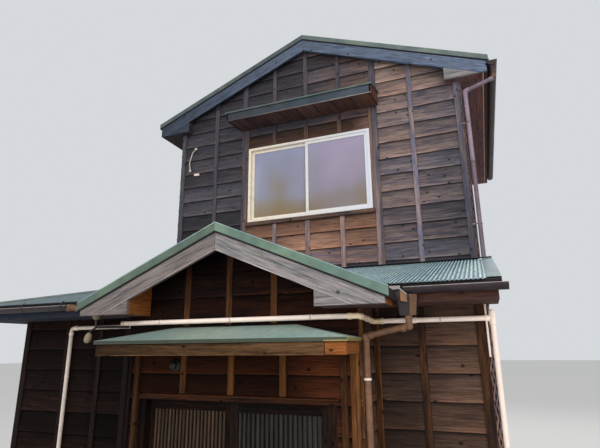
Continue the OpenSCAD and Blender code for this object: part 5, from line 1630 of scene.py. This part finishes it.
def door_canopy():
    """The fascia, ends and brackets under the sheet, and the sheet's turned-down lip."""
    a, b = low("lower_canopy_frame"), high("lower_canopy_frame")
    sheet = low("lower_canopy_roof")
    front, back = a.y, b.y
    work = Joinery(66)
    z0, z1 = a.z + 0.002, b.z - 0.012
    work.slab(box_face(a.x, PATCH_X, front, z0, z1), -Y, 0.024, X, 0.35, red=0.7)
    # darker at its left end, paler at its right
    work.tone = [-0.28 + 0.35 * (point[0] - a.x) for point in work.points]
    work.slab(box_face(a.x, PATCH_X, front + 0.002, z0 - 0.002, z0 + 0.012), -Y, 0.004, X, 0.9,
              bevel=0.0015, red=1.0)
    work.slab(box_face(PATCH_X + 0.004, b.x, front + 0.001, z0, z1), -Y, 0.024, X, 0.6, 1)
    for x, out, mark in ((a.x, -X, 0), (b.x, X, 1)):
        work.slab(side_face(x, front + 0.026, back, z0, z1), out, 0.024, Y, 0.5, mark)
    for k in (-1.5, -0.5, 0.5, 1.5):
        x, z = k * MODULE, b.z - 0.0225
        work.plank((x, front + 0.026, z), (x, back, z), 0.045, 0.045, X, -Z, 0.3, 0, red=0.6)
    give("door_canopy_boards", work.mesh("door_canopy_boards"), ("canopy_wood", "orange"),
         "lower_canopy_frame", slot="trim_boards")
    # the sheet's turned-down lip along the front and both hipped ends
    work = Joinery(67)
    z0, z1 = sheet.z - 0.010, sheet.z + 0.0175
    y, c = sheet.y + 0.0012, sheet.x
    for x0, x1, mark in ((c, PATCH_X, 0), (PATCH_X, -c, 1)):
        work.slab(box_face(x0, x1, y, z0, z1), -Y, 0.0025, X, 0.5, mark, 0.0008)
    for side, out, mark in ((-1, -X, 0), (1, X, 1)):
        x = side * -(c + 0.0012)
        work.slab(side_face(x, y, -0.03, z0, z1), out, 0.0025, Y, 0.5, mark, 0.0008)
    give("door_canopy_lip", work.mesh("door_canopy_lip"), ("lip", "olive"), slot="canopy_sheet")


def canopy_sheet_face(face):
    """Pale on top, dark green at the lip, olive where the lip was mended at the right."""
    if face.normal.z > 0.3:
        return 0
    return 2 if face.center.x > PATCH_X else 1


class TOWNHOUSE_OT_canopies(bpy.types.Operator):
    """Builds the canopy over the window and the canopy over the door"""
    bl_idname = "townhouse.canopies"
    bl_label = "Canopies"

    def execute(self, context):
        dress("window_canopy_sheet", "upper_canopy_roof", 61, ("verge",), "roof_sheet", bevel=0.003,
              tones=(0.3, 0.4))
        window_canopy()
        dress("door_canopy_sheet", "lower_canopy_roof", 63, ("canopy", "lip", "olive"), "canopy_sheet",
              bevel=0.002, ends=True, look=lambda c: (0.5 + 0.22 * c.x, 0.5), pick=canopy_sheet_face)
        door_canopy()
        return {"FINISHED"}


# Window and doors

class TOWNHOUSE_OT_window(bpy.types.Operator):
    """Builds the upper window's frame, sashes and panes"""
    bl_idname = "townhouse.window"
    bl_label = "Window"

    def execute(self, context):
        for name, node, seed in (("window_outer_frame", "window_frame", 71),
                                 ("window_sash_frames", "window_sashes", 72)):
            dress(name, node, seed, ("window",), "window_aluminium")
        finish_node("window_glass", "pane")
        return {"FINISHED"}


def make_leaf(side, seed, stiles, tones, count):
    """A sliding leaf: stiles, rails and bottom board jointed round a lattice of upright bars. stiles and
    tones are the left stile's, then the right one's."""
    s = sizes()
    node = "door_" + side
    a, b = low(node), high(node)
    work = Joinery(seed)
    rail, kick, belt_z = 0.095, 0.26, 0.905
    mid, top = low(node + "_panel").z, b.z
    foot = mid - kick
    y, t = (a.y + b.y) / 2, b.y - a.y
    x0, x1 = a.x + stiles[0], b.x - stiles[1]
    work.red = 0.1
    for x, wide, tone in ((a.x + stiles[0] / 2, stiles[0], tones[0]),
                          (b.x - stiles[1] / 2, stiles[1], tones[1])):
        work.plank((x, y, foot), (x, y, top), wide, t, X, -Y, tone)
    for z, tall, thin, tone in ((top - rail / 2, rail, 0.002, -0.15), (foot + kick / 2, kick, 0.004, 0.5),
                                  (belt_z, 0.05, 0.002, 0.45)):
        work.plank((x0, y, z), (x1, y, z), tall, t - thin, Z, -Y, tone)
    give(node + "_frame", work.mesh(node + "_frame"), ("door_wood",), node, body=node, slot="lattice_wood")
    step = (x1 - x0) / count
    height = top - rail - mid
    wood = "lattice_" + side
    made = grow(node + "_bars", bars_rule(wood), bpy.data.meshes.new(node + "_blank"), {
        "Count": count, "Step": step, "Width": s.bar_w, "Thickness": s.bar_d - 0.001, "Height": height})
    made.transform(Matrix.Translation((x0 + step / 2, a.y + s.bar_d / 2, mid + height / 2)))
    give(node + "_lattice", made, (wood,), body=node, slot="lattice_wood")
    # grooved wheels that run on the rail
    work = Joinery(90)
    for x in (a.x + 0.07, b.x - 0.07):
        work.turned((x, y - 0.006, 0.0933), Y, ((0, 0.012), (0.001, 0.014), (0.004, 0.0125),
                                                (0.008, 0.0125), (0.011, 0.014), (0.012, 0.012)), sides=24)
    give(node + "_wheels", work.mesh(node + "_wheels"), ("steel",), body=node, slot="lattice_wood")
    finish_node(node + "_panel", "hall")


class TOWNHOUSE_OT_doors(bpy.types.Operator):
    """Builds the sliding leaves, the frame round them and the threshold with its rails"""
    bl_idname = "townhouse.doors"
    bl_label = "Doors"

    def execute(self, context):
        bars = sizes().bar_count
        # the left leaf is older: narrow at the jamb, wide where the leaves meet, its bars set closer
        make_leaf("left", 84, (0.045, 0.10), (-0.1, 0.0), bars + 2)
        make_leaf("right", 85, (0.07, 0.07), (0.35, 0.45), bars)
        a, b = low("door_frame"), high("door_frame")
        work = Joinery(85)
        work.red = 0.4
        jamb, lintel = 0.045, 0.045
        t, y = b.y - a.y, (a.y + b.y) / 2
        # the left jamb is darker than the right: painted shade
        for x, tone in ((a.x + jamb / 2, -0.2), (b.x - jamb / 2, 0.5)):
            work.plank((x, y, a.z), (x, y, b.z - lintel), jamb, t, X, -Y, tone)
        # the lintel: a strip either side of its grooves, the grooves' roof, and their two ends, then a
        # head casing over it with a pale worn upper edge
        front, rear = low("door_right").y - 0.005, high("door_left").y + 0.005
        mid, wide = (front + rear) / 2, rear - front
        for x0, x1, y, z, tall, thick, tone, red, bevel in (
                (a.x, b.x, (a.y + front) / 2, b.z - lintel / 2, lintel, front - a.y, 0.65, 0.4, 0.003),
                (a.x, b.x, (rear + b.y) / 2, b.z - lintel / 2, lintel, b.y - rear, 0.65, 0.4, 0.003),
                (a.x + jamb, b.x - jamb, mid, b.z - 0.016, 0.032, wide, 0.3, 0.4, 0.003),
                (a.x, a.x + jamb, mid, b.z - lintel / 2, lintel, wide, 0.4, 0.4, 0.003),
                (b.x - jamb, b.x, mid, b.z - lintel / 2, lintel, wide, 0.4, 0.4, 0.003),
                (a.x - 0.01, b.x + 0.02, -0.012, b.z - 0.034, 0.034, 0.024, 0.3, 0.55, 0.003),
                (a.x - 0.01, b.x + 0.02, -0.015, b.z - 0.0135, 0.008, 0.03, 0.75, 0.8, 0.002)):
            work.plank((x0, y, z), (x1, y, z), tall, thick, Z, -Y, tone, bevel=bevel, red=red)
        give("door_surround", work.mesh("door_surround"), ("door_wood",), "door_frame", slot="door_timber")
        work = Joinery(86)
        a, b = low("door_threshold"), high("door_threshold")
        top, y = 0.072, (a.y + b.y) / 2
        work.plank((a.x, y, top / 2), (b.x, y, top / 2), top, b.y - a.y, Z, -Y, 0.5, red=1.0)
        give("threshold_board", work.mesh("threshold_board"), ("low_batten",), "door_threshold",
             slot="door_timber")
        work = Joinery(87)
        for node in ("door_left", "door_right"):
            y, z, end = (low(node).y + high(node).y) / 2, top + 0.0035, 0.833
            work.plank((-end, y, z), (end, y, z), 0.007, 0.006, Z, -Y, bevel=0.0015)
        give("door_rails", work.mesh("door_rails"), ("steel",), slot="door_timber")
        return {"FINISHED"}


# Rainwater

# Radius of the downpipes
PIPE_R = 0.024


def gutters(y, z, r, main_x, main_z, head_x):
    """The channels, the rolled rims along their outer edges, and the left gutter's straps."""
    dress("gutter_channels", "gutters", 91, ("gutter",), "brown_gutter", 40, bevel=0, tones=(0.5, 0.51))
    work = Joinery(92)
    # the rolled rims are paler than the gutters: a painted highlight along their outer edges
    rim, rim_y, rim_z = 0.004, y - r + 0.004, main_z - 0.004
    for a, b in ((LEAN_X0 - 0.02, -PORCH_ROOF_X - 0.445), (head_x - 0.02, LEAN_X1 + 0.04)):
        work.tube([(a, rim_y, z), (b, rim_y, z)], rim, sides=8, tone=0.9)
    x = main_x + 0.0535
    work.tube([(x, MAIN_Y0, rim_z), (x, MAIN_Y1, rim_z)], rim, sides=8, tone=0.6)
    give("gutter_rims", work.mesh("gutter_rims"), ("rim",), slot="brown_gutter", smooth=50)
    places = [(x, y, z) for x in (-3.3, -2.85, -2.4, -1.87)]
    points = points_mesh("strap_points", places, [X] * len(places))
    made = grow("gutter_straps", straps_rule("gutter"), points, {
        "Radius": 0.0488, "Sweep": math.pi, "Start": math.pi, "Width": 0.016})
    give("gutter_straps", made, ("gutter",), slot="brown_gutter")


def porch_downpipe(y, head_x, head_top, corner_x):
    """The rainwater head, its outlet, the slanting pipe and the pipe down the porch's corner."""
    foot = head_top - 0.15
    bend = foot - 0.08
    work = Joinery(93)
    plan = ((-1, -1), (0.3, -1), (1, -0.2), (1, 1), (-1, 1))
    rings = []
    for z, w, d in ((foot, 0.052, 0.036), (foot + 0.012, 0.056, 0.038), (head_top - 0.045, 0.066, 0.041),
                    (head_top - 0.043, 0.07, 0.042), (head_top, 0.07, 0.042)):
        rings.append([work.corner((head_x + w * p, y + d * q, z), (z, p, q), 0.25) for p, q in plan])
    work.loft(rings, 1)
    # the head's splayed corner, which faces right, is paler and redder: partly faded like the pipe, partly
    # painted light
    for i in range(len(rings) - 1):
        work.marks[work.faces.index((rings[i][1], rings[i][2], rings[i + 1][2], rings[i + 1][1]))] = 0
    outlet, elbow = Vector((head_x, y, bend)), Vector((corner_x, 0, bend - 0.06))
    way = (elbow - outlet).normalized()
    for a, b, r, tone in (((head_x, y, foot + 0.004), outlet, PIPE_R, 0.35),
                          (outlet + Z * 0.006, elbow - X * 0.004, PIPE_R - 0.001, 0.3),
                          (elbow + Z * 0.01, (corner_x, 0, 0.06), PIPE_R, 0.5)):
        work.tube([a, b], r, sides=20, tone=tone)
    work.sleeve((head_x, y, foot - 0.01), Z, 0.03, PIPE_R + 0.004, 0, 0.45)
    work.turned(outlet - Z * 0.022, Z, ((0, 0.012), (0.008, 0.024), (0.022, 0.028), (0.05, 0.028),
                                        (0.052, 0.025)), 0, 0.3)
    for at in (outlet + way * 0.04, elbow - way * 0.04):
        work.sleeve(at, way, 0.03, PIPE_R + 0.003, 0, 0.35)
    work.turned(elbow + Z * 0.024, -Z, ((0, 0.012), (0.008, 0.024), (0.02, 0.028), (0.06, 0.028),
                                        (0.062, 0.025)), 0, 0.45)
    work.sleeve((corner_x, 0, 1.1), Z, 0.05, PIPE_R + 0.003, 0, 0.5)
    give("porch_downpipe", work.mesh("porch_downpipe"), ("brown_pipe", "gutter"), "downpipes",
         slot="brown_gutter", smooth=40)


def upper_downpipe(outlet, wall, bend, ground):
    """The downpipe from the main gutter to the lean-to roof: brown at the top, bleached mauve below."""
    work = Joinery(94)
    way = (wall - bend).normalized()
    joint = Vector((wall.x, wall.y, 4.3))
    work.tube([outlet, bend], PIPE_R - 0.001, sides=20, tone=-0.15)
    work.turned(outlet + Z * 0.004, -Z, ((0, 0.03), (0.03, 0.03), (0.05, 0.025), (0.052, 0.024)), 2, 0.5)
    work.tube([bend, wall], PIPE_R - 0.001, mark=1, sides=20, tone=0.3)
    for at, along, size, mark, tone in ((bend + way * 0.03, way, 0.04, 1, 0.35),
                                        (bend + Z * 0.02, Z, 0.05, 0, 0.15),
                                        (wall - way * 0.03, way, 0.04, 1, 0.6)):
        work.sleeve(at, along, size, PIPE_R + 0.003, mark, tone)
    for a, b, r, tone in ((wall + Z * 0.01, joint, PIPE_R, 0.6),
                          (joint + Z * 0.01, ground, PIPE_R - 0.0005, 0.12)):
        work.tube([a, b], r, sides=20, mark=1, tone=tone)
    work.sleeve(wall - Z * 0.03, Z, 0.05, PIPE_R + 0.004, 1, 0.6)
    work.sleeve(joint, Z, 0.05, PIPE_R + 0.003, 1, 0.5)
    give("upper_downpipe", work.mesh("upper_downpipe"), ("brown_pipe", "grey_pipe", "gutter"),
         slot="brown_gutter", smooth=40)


def valley_spouts(y, head_x):
    """The short trough that carries the valley's water into the rainwater head, its cut end, and the
    elbow at the left gutter's end."""
    work = Joinery(96)
    x0, x1, front = head_x - 0.122, head_x - 0.039, y - 0.065
    run = x1 - x0
    work.turned((x0, front + 0.043, 2.634), X, ((0, 0.039), (0.002, 0.043), (run - 0.002, 0.043),
                                                (run, 0.039)), 1, 1.1)
    # the cut end turns back towards the wall
    out, x2, back = Vector((0.028, -0.051, 0)), x1 + 0.051, y - 0.037
    work.slab([(x1, front, 2.587), (x2, back, 2.576), (x2, back, 2.628), (x1, front, 2.674)], out, 0.02, X,
              1.0, 3, 0.001)
    work.plank((x1, front - 0.001, 2.674), (x2, back - 0.001, 2.628), 0.005, 0.004, Z, out, 1.3, 0, 0.001)
    work.slab([(x0, front - 0.002, 2.67), (x1, front - 0.002, 2.67), (x1 - 0.003, front + 0.038, 2.70),
               (x0, front + 0.038, 2.70)], (0, -0.6, 0.8), 0.003, X, 0.7, 4, 0.001)
    work.tube([(-1.93, y, 2.668), (-1.75, y, 2.664), (-1.665, y + 0.03, 2.64)], 0.03, bend=0.05, mark=3,
              sides=16, tone=0.25)
    work.sleeve((-1.80, y, 2.665), X, 0.05, 0.035, 3, 0.35)
    give("valley_spouts", work.mesh("valley_spouts"), ("flat", "gutter", "roof", "brown_pipe", "rim"),
         slot="roof_sheet")


class TOWNHOUSE_OT_rainwater(bpy.types.Operator):
    """Fits the gutters with their rims and straps, the rainwater head and the brown downpipes"""
    bl_idname = "townhouse.rainwater"
    bl_label = "Gutters and downpipes"

    def execute(self, context):
        r = 0.048
        z, y = LEAN_EAVE_Z - LEAN_DECK - 0.004, LEAN_Y0 + 0.025 - 0.048
        main_x, main_z = high("gutters").x - 0.058, high("gutters").z
        head_x, corner_x = PORCH_ROOF_X + 0.072, -low("lower_canopy_roof").x + 0.03
        gutters(y, z, r, main_x, main_z, head_x)
        porch_downpipe(y, head_x, z - r - 0.001, corner_x)
        outlet = Vector((main_x, MAIN_Y0 + 0.03, main_z - 0.058))
        bend = outlet - Z * 0.15
        wall = Vector((UPPER_X + 0.084, outlet.y + 0.04, bend.z - 0.08))
        upper_downpipe(outlet, wall, bend, Vector((wall.x, wall.y, lean_top(wall.y) + 0.026)))
        # cream clips on the downpipes
        work = Joinery(95)
        work.sleeve((corner_x, 0, 2.045), Z, 0.016, PIPE_R + 0.004)
        for z_clip in (3.55, 4.75):
            work.sleeve((wall.x, wall.y, z_clip), Z, 0.016, PIPE_R + 0.004, 1, 0.3)
            work.plank((wall.x - 0.02, wall.y, z_clip), (UPPER_X + 0.002, wall.y, z_clip), 0.014, 0.004, Z,
                       -Y, 0.3, 1, 0.001)
        give("pipe_clips", work.mesh("pipe_clips"), ("pipe", "grey_pipe"), slot="white_pipe", smooth=40)
        valley_spouts(y, head_x)
        return {"FINISHED"}


# White pipes and fittings

def white_pipes(porch_y, wing_y, z, z_low, right_x, left_x):
    """The pipe across the porch and back to the right wing, down its corner, and the left wing's pipe."""
    r, wide = 0.02, 0.0245
    turn_x, cap_x = PORCH_X + 0.0243, -PORCH_X - 0.05
    work = Joinery(101)
    # across the porch: a yellowed cap, the long pipe, then elbows back to the wing
    work.tube([(cap_x, porch_y, z), (turn_x - 0.034, porch_y, z)], r, sides=20, tone=0.8)
    work.turned((cap_x - 0.012, porch_y, z), X, ((0, 0.018), (0.003, 0.0235), (0.036, 0.0235),
                                                 (0.036, 0.0205)), 1, 0.5)
    work.tube([(turn_x - 0.06, porch_y, z), (turn_x, porch_y, z), (turn_x, wing_y, z_low),
               (turn_x + 0.09, wing_y, z_low)], r + 0.002, bend=0.034, mark=1, sides=20, tone=0.85)
    for at, way in (((turn_x - 0.075, porch_y, z), X), ((turn_x, porch_y + 0.05, z - 0.002), Y),
                    ((turn_x, (porch_y + wing_y) / 2, (z + z_low) / 2), Y),
                    ((turn_x, wing_y - 0.05, z_low + 0.002), Y), ((turn_x + 0.075, wing_y, z_low), X)):
        work.sleeve(at, way, 0.03, wide, 1, 0.9)
    work.tube([(turn_x + 0.05, wing_y, z_low), (right_x, wing_y, z_low)], r, sides=20, tone=0.85)
    work.sleeve((turn_x + 0.33, wing_y, z_low), X, 0.045, wide, 0, 0.85)
    # the tee and the pipe down the right corner, with its joints
    work.tube([(right_x, wing_y, 0.06), (right_x, wing_y, WING_EAVE_Z - 0.04)], r, sides=20, tone=0.6)
    work.sleeve((right_x, wing_y, z_low), Z, 0.1, wide, 0, 0.65)
    work.sleeve((right_x - 0.036, wing_y, z_low), X, 0.03, wide - 0.001, 0, 0.9)
    for z_joint in (0.45, 1.35):
        work.sleeve((right_x, wing_y, z_joint), Z, 0.06, wide, 0, 0.6)
    # the left wing's pipe, greyer in the shade
    work.tube([(cap_x, wing_y, z), (left_x, wing_y, z), (left_x, wing_y, 0.06)], r, bend=0.034, sides=20,
              tone=0.3)
    for at, way, size in (((left_x + 0.06, wing_y, z), X, 0.03), ((left_x, wing_y, z - 0.06), Z, 0.03),
                          ((left_x, wing_y, 1.2), Z, 0.06)):
        work.sleeve(at, way, size, wide, 0, 0.5)
    # a thin conduit beside the right pipe
    x, y = UPPER_X + 0.036, WING_Y - 0.034
    work.tube([(x, y, 2.19), (x, y, WING_EAVE_Z)], 0.008, sides=10, tone=0.6)
    give("white_pipe_runs", work.mesh("white_pipe_runs"), ("pipe", "aged_pipe"), "white_pipes",
         slot="white_pipe", smooth=40)


def pipe_saddles(porch_y, wing_y, z, z_low, right_x, left_x):
    """Saddles that hold the white pipes to the walls."""
    work = Joinery(102)
    for at, way in (((-0.7, porch_y, z), X), ((0.0, porch_y, z), X), ((0.7, porch_y, z), X),
                    ((1.62, wing_y, z_low), X), ((right_x, wing_y, 1.5), Z), ((right_x, wing_y, 0.6), Z),
                    ((left_x, wing_y, 2.0), Z), ((left_x, wing_y, 0.7), Z)):
        work.sleeve(at, way, 0.014, 0.0225, 0, 0.35)
    for z_arm in (1.5, 0.6):
        work.plank((right_x - 0.02, wing_y, z_arm), (UPPER_X + 0.02, wing_y, z_arm), 0.014, 0.004, Z, -Y,
                   0.3, 0, 0.001)
    give("pipe_saddles", work.mesh("pipe_saddles"), ("pipe",), slot="white_pipe", smooth=40)


def small_fittings():
    """The lamps by the door and at the canopy's end, and the cleat and conduit at the upper left corner."""
    work = Joinery(103)
    # round lamp base by the door
    work.turned((-0.535, -0.014, 2.135), -Y, ((0, 0.05), (0.012, 0.052), (0.02, 0.044), (0.03, 0.03),
                                              (0.05, 0.03), (0.056, 0.024)), 0, -0.25, 24)
    # lamp at the canopy's left end: its cup, its bent stem, the dark arm and the shade
    stem = Vector((-1.20, -0.275, 0))
    work.turned(stem + Z * 2.553, -Z, ((0, 0.036), (0.012, 0.036), (0.03, 0.022), (0.034, 0.014)), 1, -0.28)
    for points, radius, bend in ((((0, 0, 2.53), (0, 0, 2.45), (-0.05, 0, 2.43), (-0.065, 0, 2.40)), 0.009,
                                  0.02), (((-0.1, 0.1, 2.462), (0.25, 0.125, 2.458)), 0.011, 0.0)):
        work.tube([stem + Vector(p) for p in points], radius, bend=bend, sides=12, tone=0.1)
    work.turned(stem + Vector((-0.06, 0, 2.41)), (-0.25, -0.1, -1), (
        (0, 0.012), (0.008, 0.02), (0.024, 0.027), (0.048, 0.03), (0.07, 0.027), (0.085, 0.018),
        (0.088, 0.008)), 1, -0.2)
    # curved conduit with its ends, and the cleat
    x, y = -UPPER_X + 0.12, UPPER_Y - 0.026
    work.tube([(x + 0.095, y, 5.07), (x + 0.04, y, 5.02), (x - 0.005, y, 4.87), (x + 0.013, y, 4.74)],
              0.008, bend=0.06, mark=2, sides=10, tone=0.1)
    for at, way, profile, tone in (
            ((x + 0.095, y + 0.01, 5.07), -Y, ((0, 0.018), (0.018, 0.018), (0.022, 0.012)), 0.2),
            ((x + 0.013, y, 4.76), -Z, ((0, 0.012), (0.02, 0.016), (0.03, 0.016), (0.034, 0.01)), 0.3)):
        work.turned(at, way, profile, 2, tone)
    x0, x1 = x + 0.08, x + 0.16
    work.slab([(x0, y, 4.66), (x1, y, 4.655), (x1, y, 4.685), (x0, y, 4.69)], -Y, 0.02, X, 0.6, 2, 0.004)
    give("small_fittings", work.mesh("small_fittings"), ("gutter", "aged_pipe", "pipe"), slot="white_pipe",
         smooth=50)


class TOWNHOUSE_OT_pipes(bpy.types.Operator):
    """Builds the white pipes with their sockets, and the small fittings on the front"""
    bl_idname = "townhouse.pipes"
    bl_label = "White pipes and fittings"

    def execute(self, context):
        off = 0.0453
        runs = (-off, WING_Y - off, WING_EAVE_Z - 0.086, WING_EAVE_Z - 0.106, UPPER_X + 0.08, LEFT_X + 0.68)
        white_pipes(*runs)
        pipe_saddles(*runs)
        small_fittings()
        return {"FINISHED"}


# Stage

class TOWNHOUSE_OT_stage(bpy.types.Operator):
    """Sets the pale floor, the soft light and the camera"""
    bl_idname = "townhouse.stage"
    bl_label = "Stage"

    def execute(self, context):
        scene = context.scene
        scene.view_settings.view_transform = "Standard"
        bpy.ops.mesh.primitive_plane_add(size=160, location=(0, 2, -0.001))
        floor = context.object
        floor.name = "floor"
        paint, tree, body = new_material("pale_floor", Roughness=0.95, Specular_IOR_Level=0.1)
        at = add(tree, "ShaderNodeTexCoord").outputs["Object"]
        # sand in grains about 30 mm across
        grit = add(tree, "ShaderNodeTexNoise", {"Vector": at, "Scale": 30.0})
        tone = add(tree, "ShaderNodeValToRGB", {"Fac": grit}, stops=(
            (0.3, linear("#dedcd8")), (0.7, linear("#e2e0dc"))))
        surface(tree, body, tone)
        floor.data.materials.append(paint)
        world = bpy.data.worlds.new("pale_sky")
        world.use_nodes = True
        world.node_tree.nodes["Background"].inputs["Color"].default_value = (*linear("#eceff3"), 1)
        world.node_tree.nodes["Background"].inputs["Strength"].default_value = 0.8
        scene.world = world
        for name, place, aim, size, power in (
                ("key", (7.0, -7.0, 9.0), (0, 2, 3), 6.0, 600.0),
                ("front", (1.0, -11.0, 3.0), (0, 2, 3), 8.0, 450.0),
                ("fill", (-8.0, -6.0, 6.0), (0, 2, 3), 6.0, 150.0),
                ("back", (3.0, 12.0, 10.0), (0, 3, 3), 6.0, 300.0)):
            data = bpy.data.lights.new(name, "AREA")
            data.size, data.energy = size, power
            lamp = bpy.data.objects.new(name, data)
            lamp.location = place
            lamp.rotation_euler = (Vector(aim) - Vector(place)).to_track_quat("-Z", "Y").to_euler()
            scene.collection.objects.link(lamp)
        # the camera stands where the photograph was taken
        data = bpy.data.cameras.new("camera")
        data.sensor_width, data.lens = 36.0, 27.733
        camera = bpy.data.objects.new("camera", data)
        yaw, pitch, roll = (math.radians(v) for v in (21.271, 14.978, -0.562))
        forward = Vector((-math.sin(yaw) * math.cos(pitch), math.cos(yaw) * math.cos(pitch), math.sin(pitch)))
        flat = Vector((math.cos(yaw), math.sin(yaw), 0))
        rise = flat.cross(forward)
        right = math.cos(roll) * flat + math.sin(roll) * rise
        top = -math.sin(roll) * flat + math.cos(roll) * rise
        turn = Matrix((right, top, -forward)).transposed().to_4x4()
        camera.matrix_world = Matrix.Translation((1.9431, -3.4457, 2.2695)) @ turn
        scene.collection.objects.link(camera)
        scene.camera = camera
        return {"FINISHED"}


class TOWNHOUSE_PT_pieces(bpy.types.Panel):
    """Lists the pieces of the townhouse"""
    bl_idname = "TOWNHOUSE_PT_pieces"
    bl_label = "Townhouse"
    bl_space_type = "VIEW_3D"
    bl_region_type = "UI"
    bl_category = "Townhouse"

    def draw(self, context):
        for step in STEPS:
            self.layout.operator(step.bl_idname)
        for group in (context.scene.townhouse_sizes, context.scene.townhouse_colours):
            for name in group.bl_rna.properties.keys():
                if name not in ("rna_type", "name"):
                    self.layout.prop(group, name)


STEPS = (TOWNHOUSE_OT_stage, TOWNHOUSE_OT_plain, TOWNHOUSE_OT_boards, TOWNHOUSE_OT_battens,
         TOWNHOUSE_OT_eaves, TOWNHOUSE_OT_roofs, TOWNHOUSE_OT_canopies, TOWNHOUSE_OT_window,
         TOWNHOUSE_OT_doors, TOWNHOUSE_OT_rainwater, TOWNHOUSE_OT_pipes)
CLASSES = (TownhouseSizes, TownhouseColours, *STEPS, TOWNHOUSE_PT_pieces)


def register():
    for kind in CLASSES:
        bpy.utils.register_class(kind)
    bpy.types.Scene.townhouse_sizes = PointerProperty(type=TownhouseSizes)
    bpy.types.Scene.townhouse_colours = PointerProperty(type=TownhouseColours)


def unregister():
    del bpy.types.Scene.townhouse_colours
    del bpy.types.Scene.townhouse_sizes
    for kind in reversed(CLASSES):
        bpy.utils.unregister_class(kind)


def main():
    register()
    make_finishes()
    for step in STEPS:
        group, name = step.bl_idname.split(".")
        getattr(getattr(bpy.ops, group), name)()


if __name__ == "__main__":
    main()
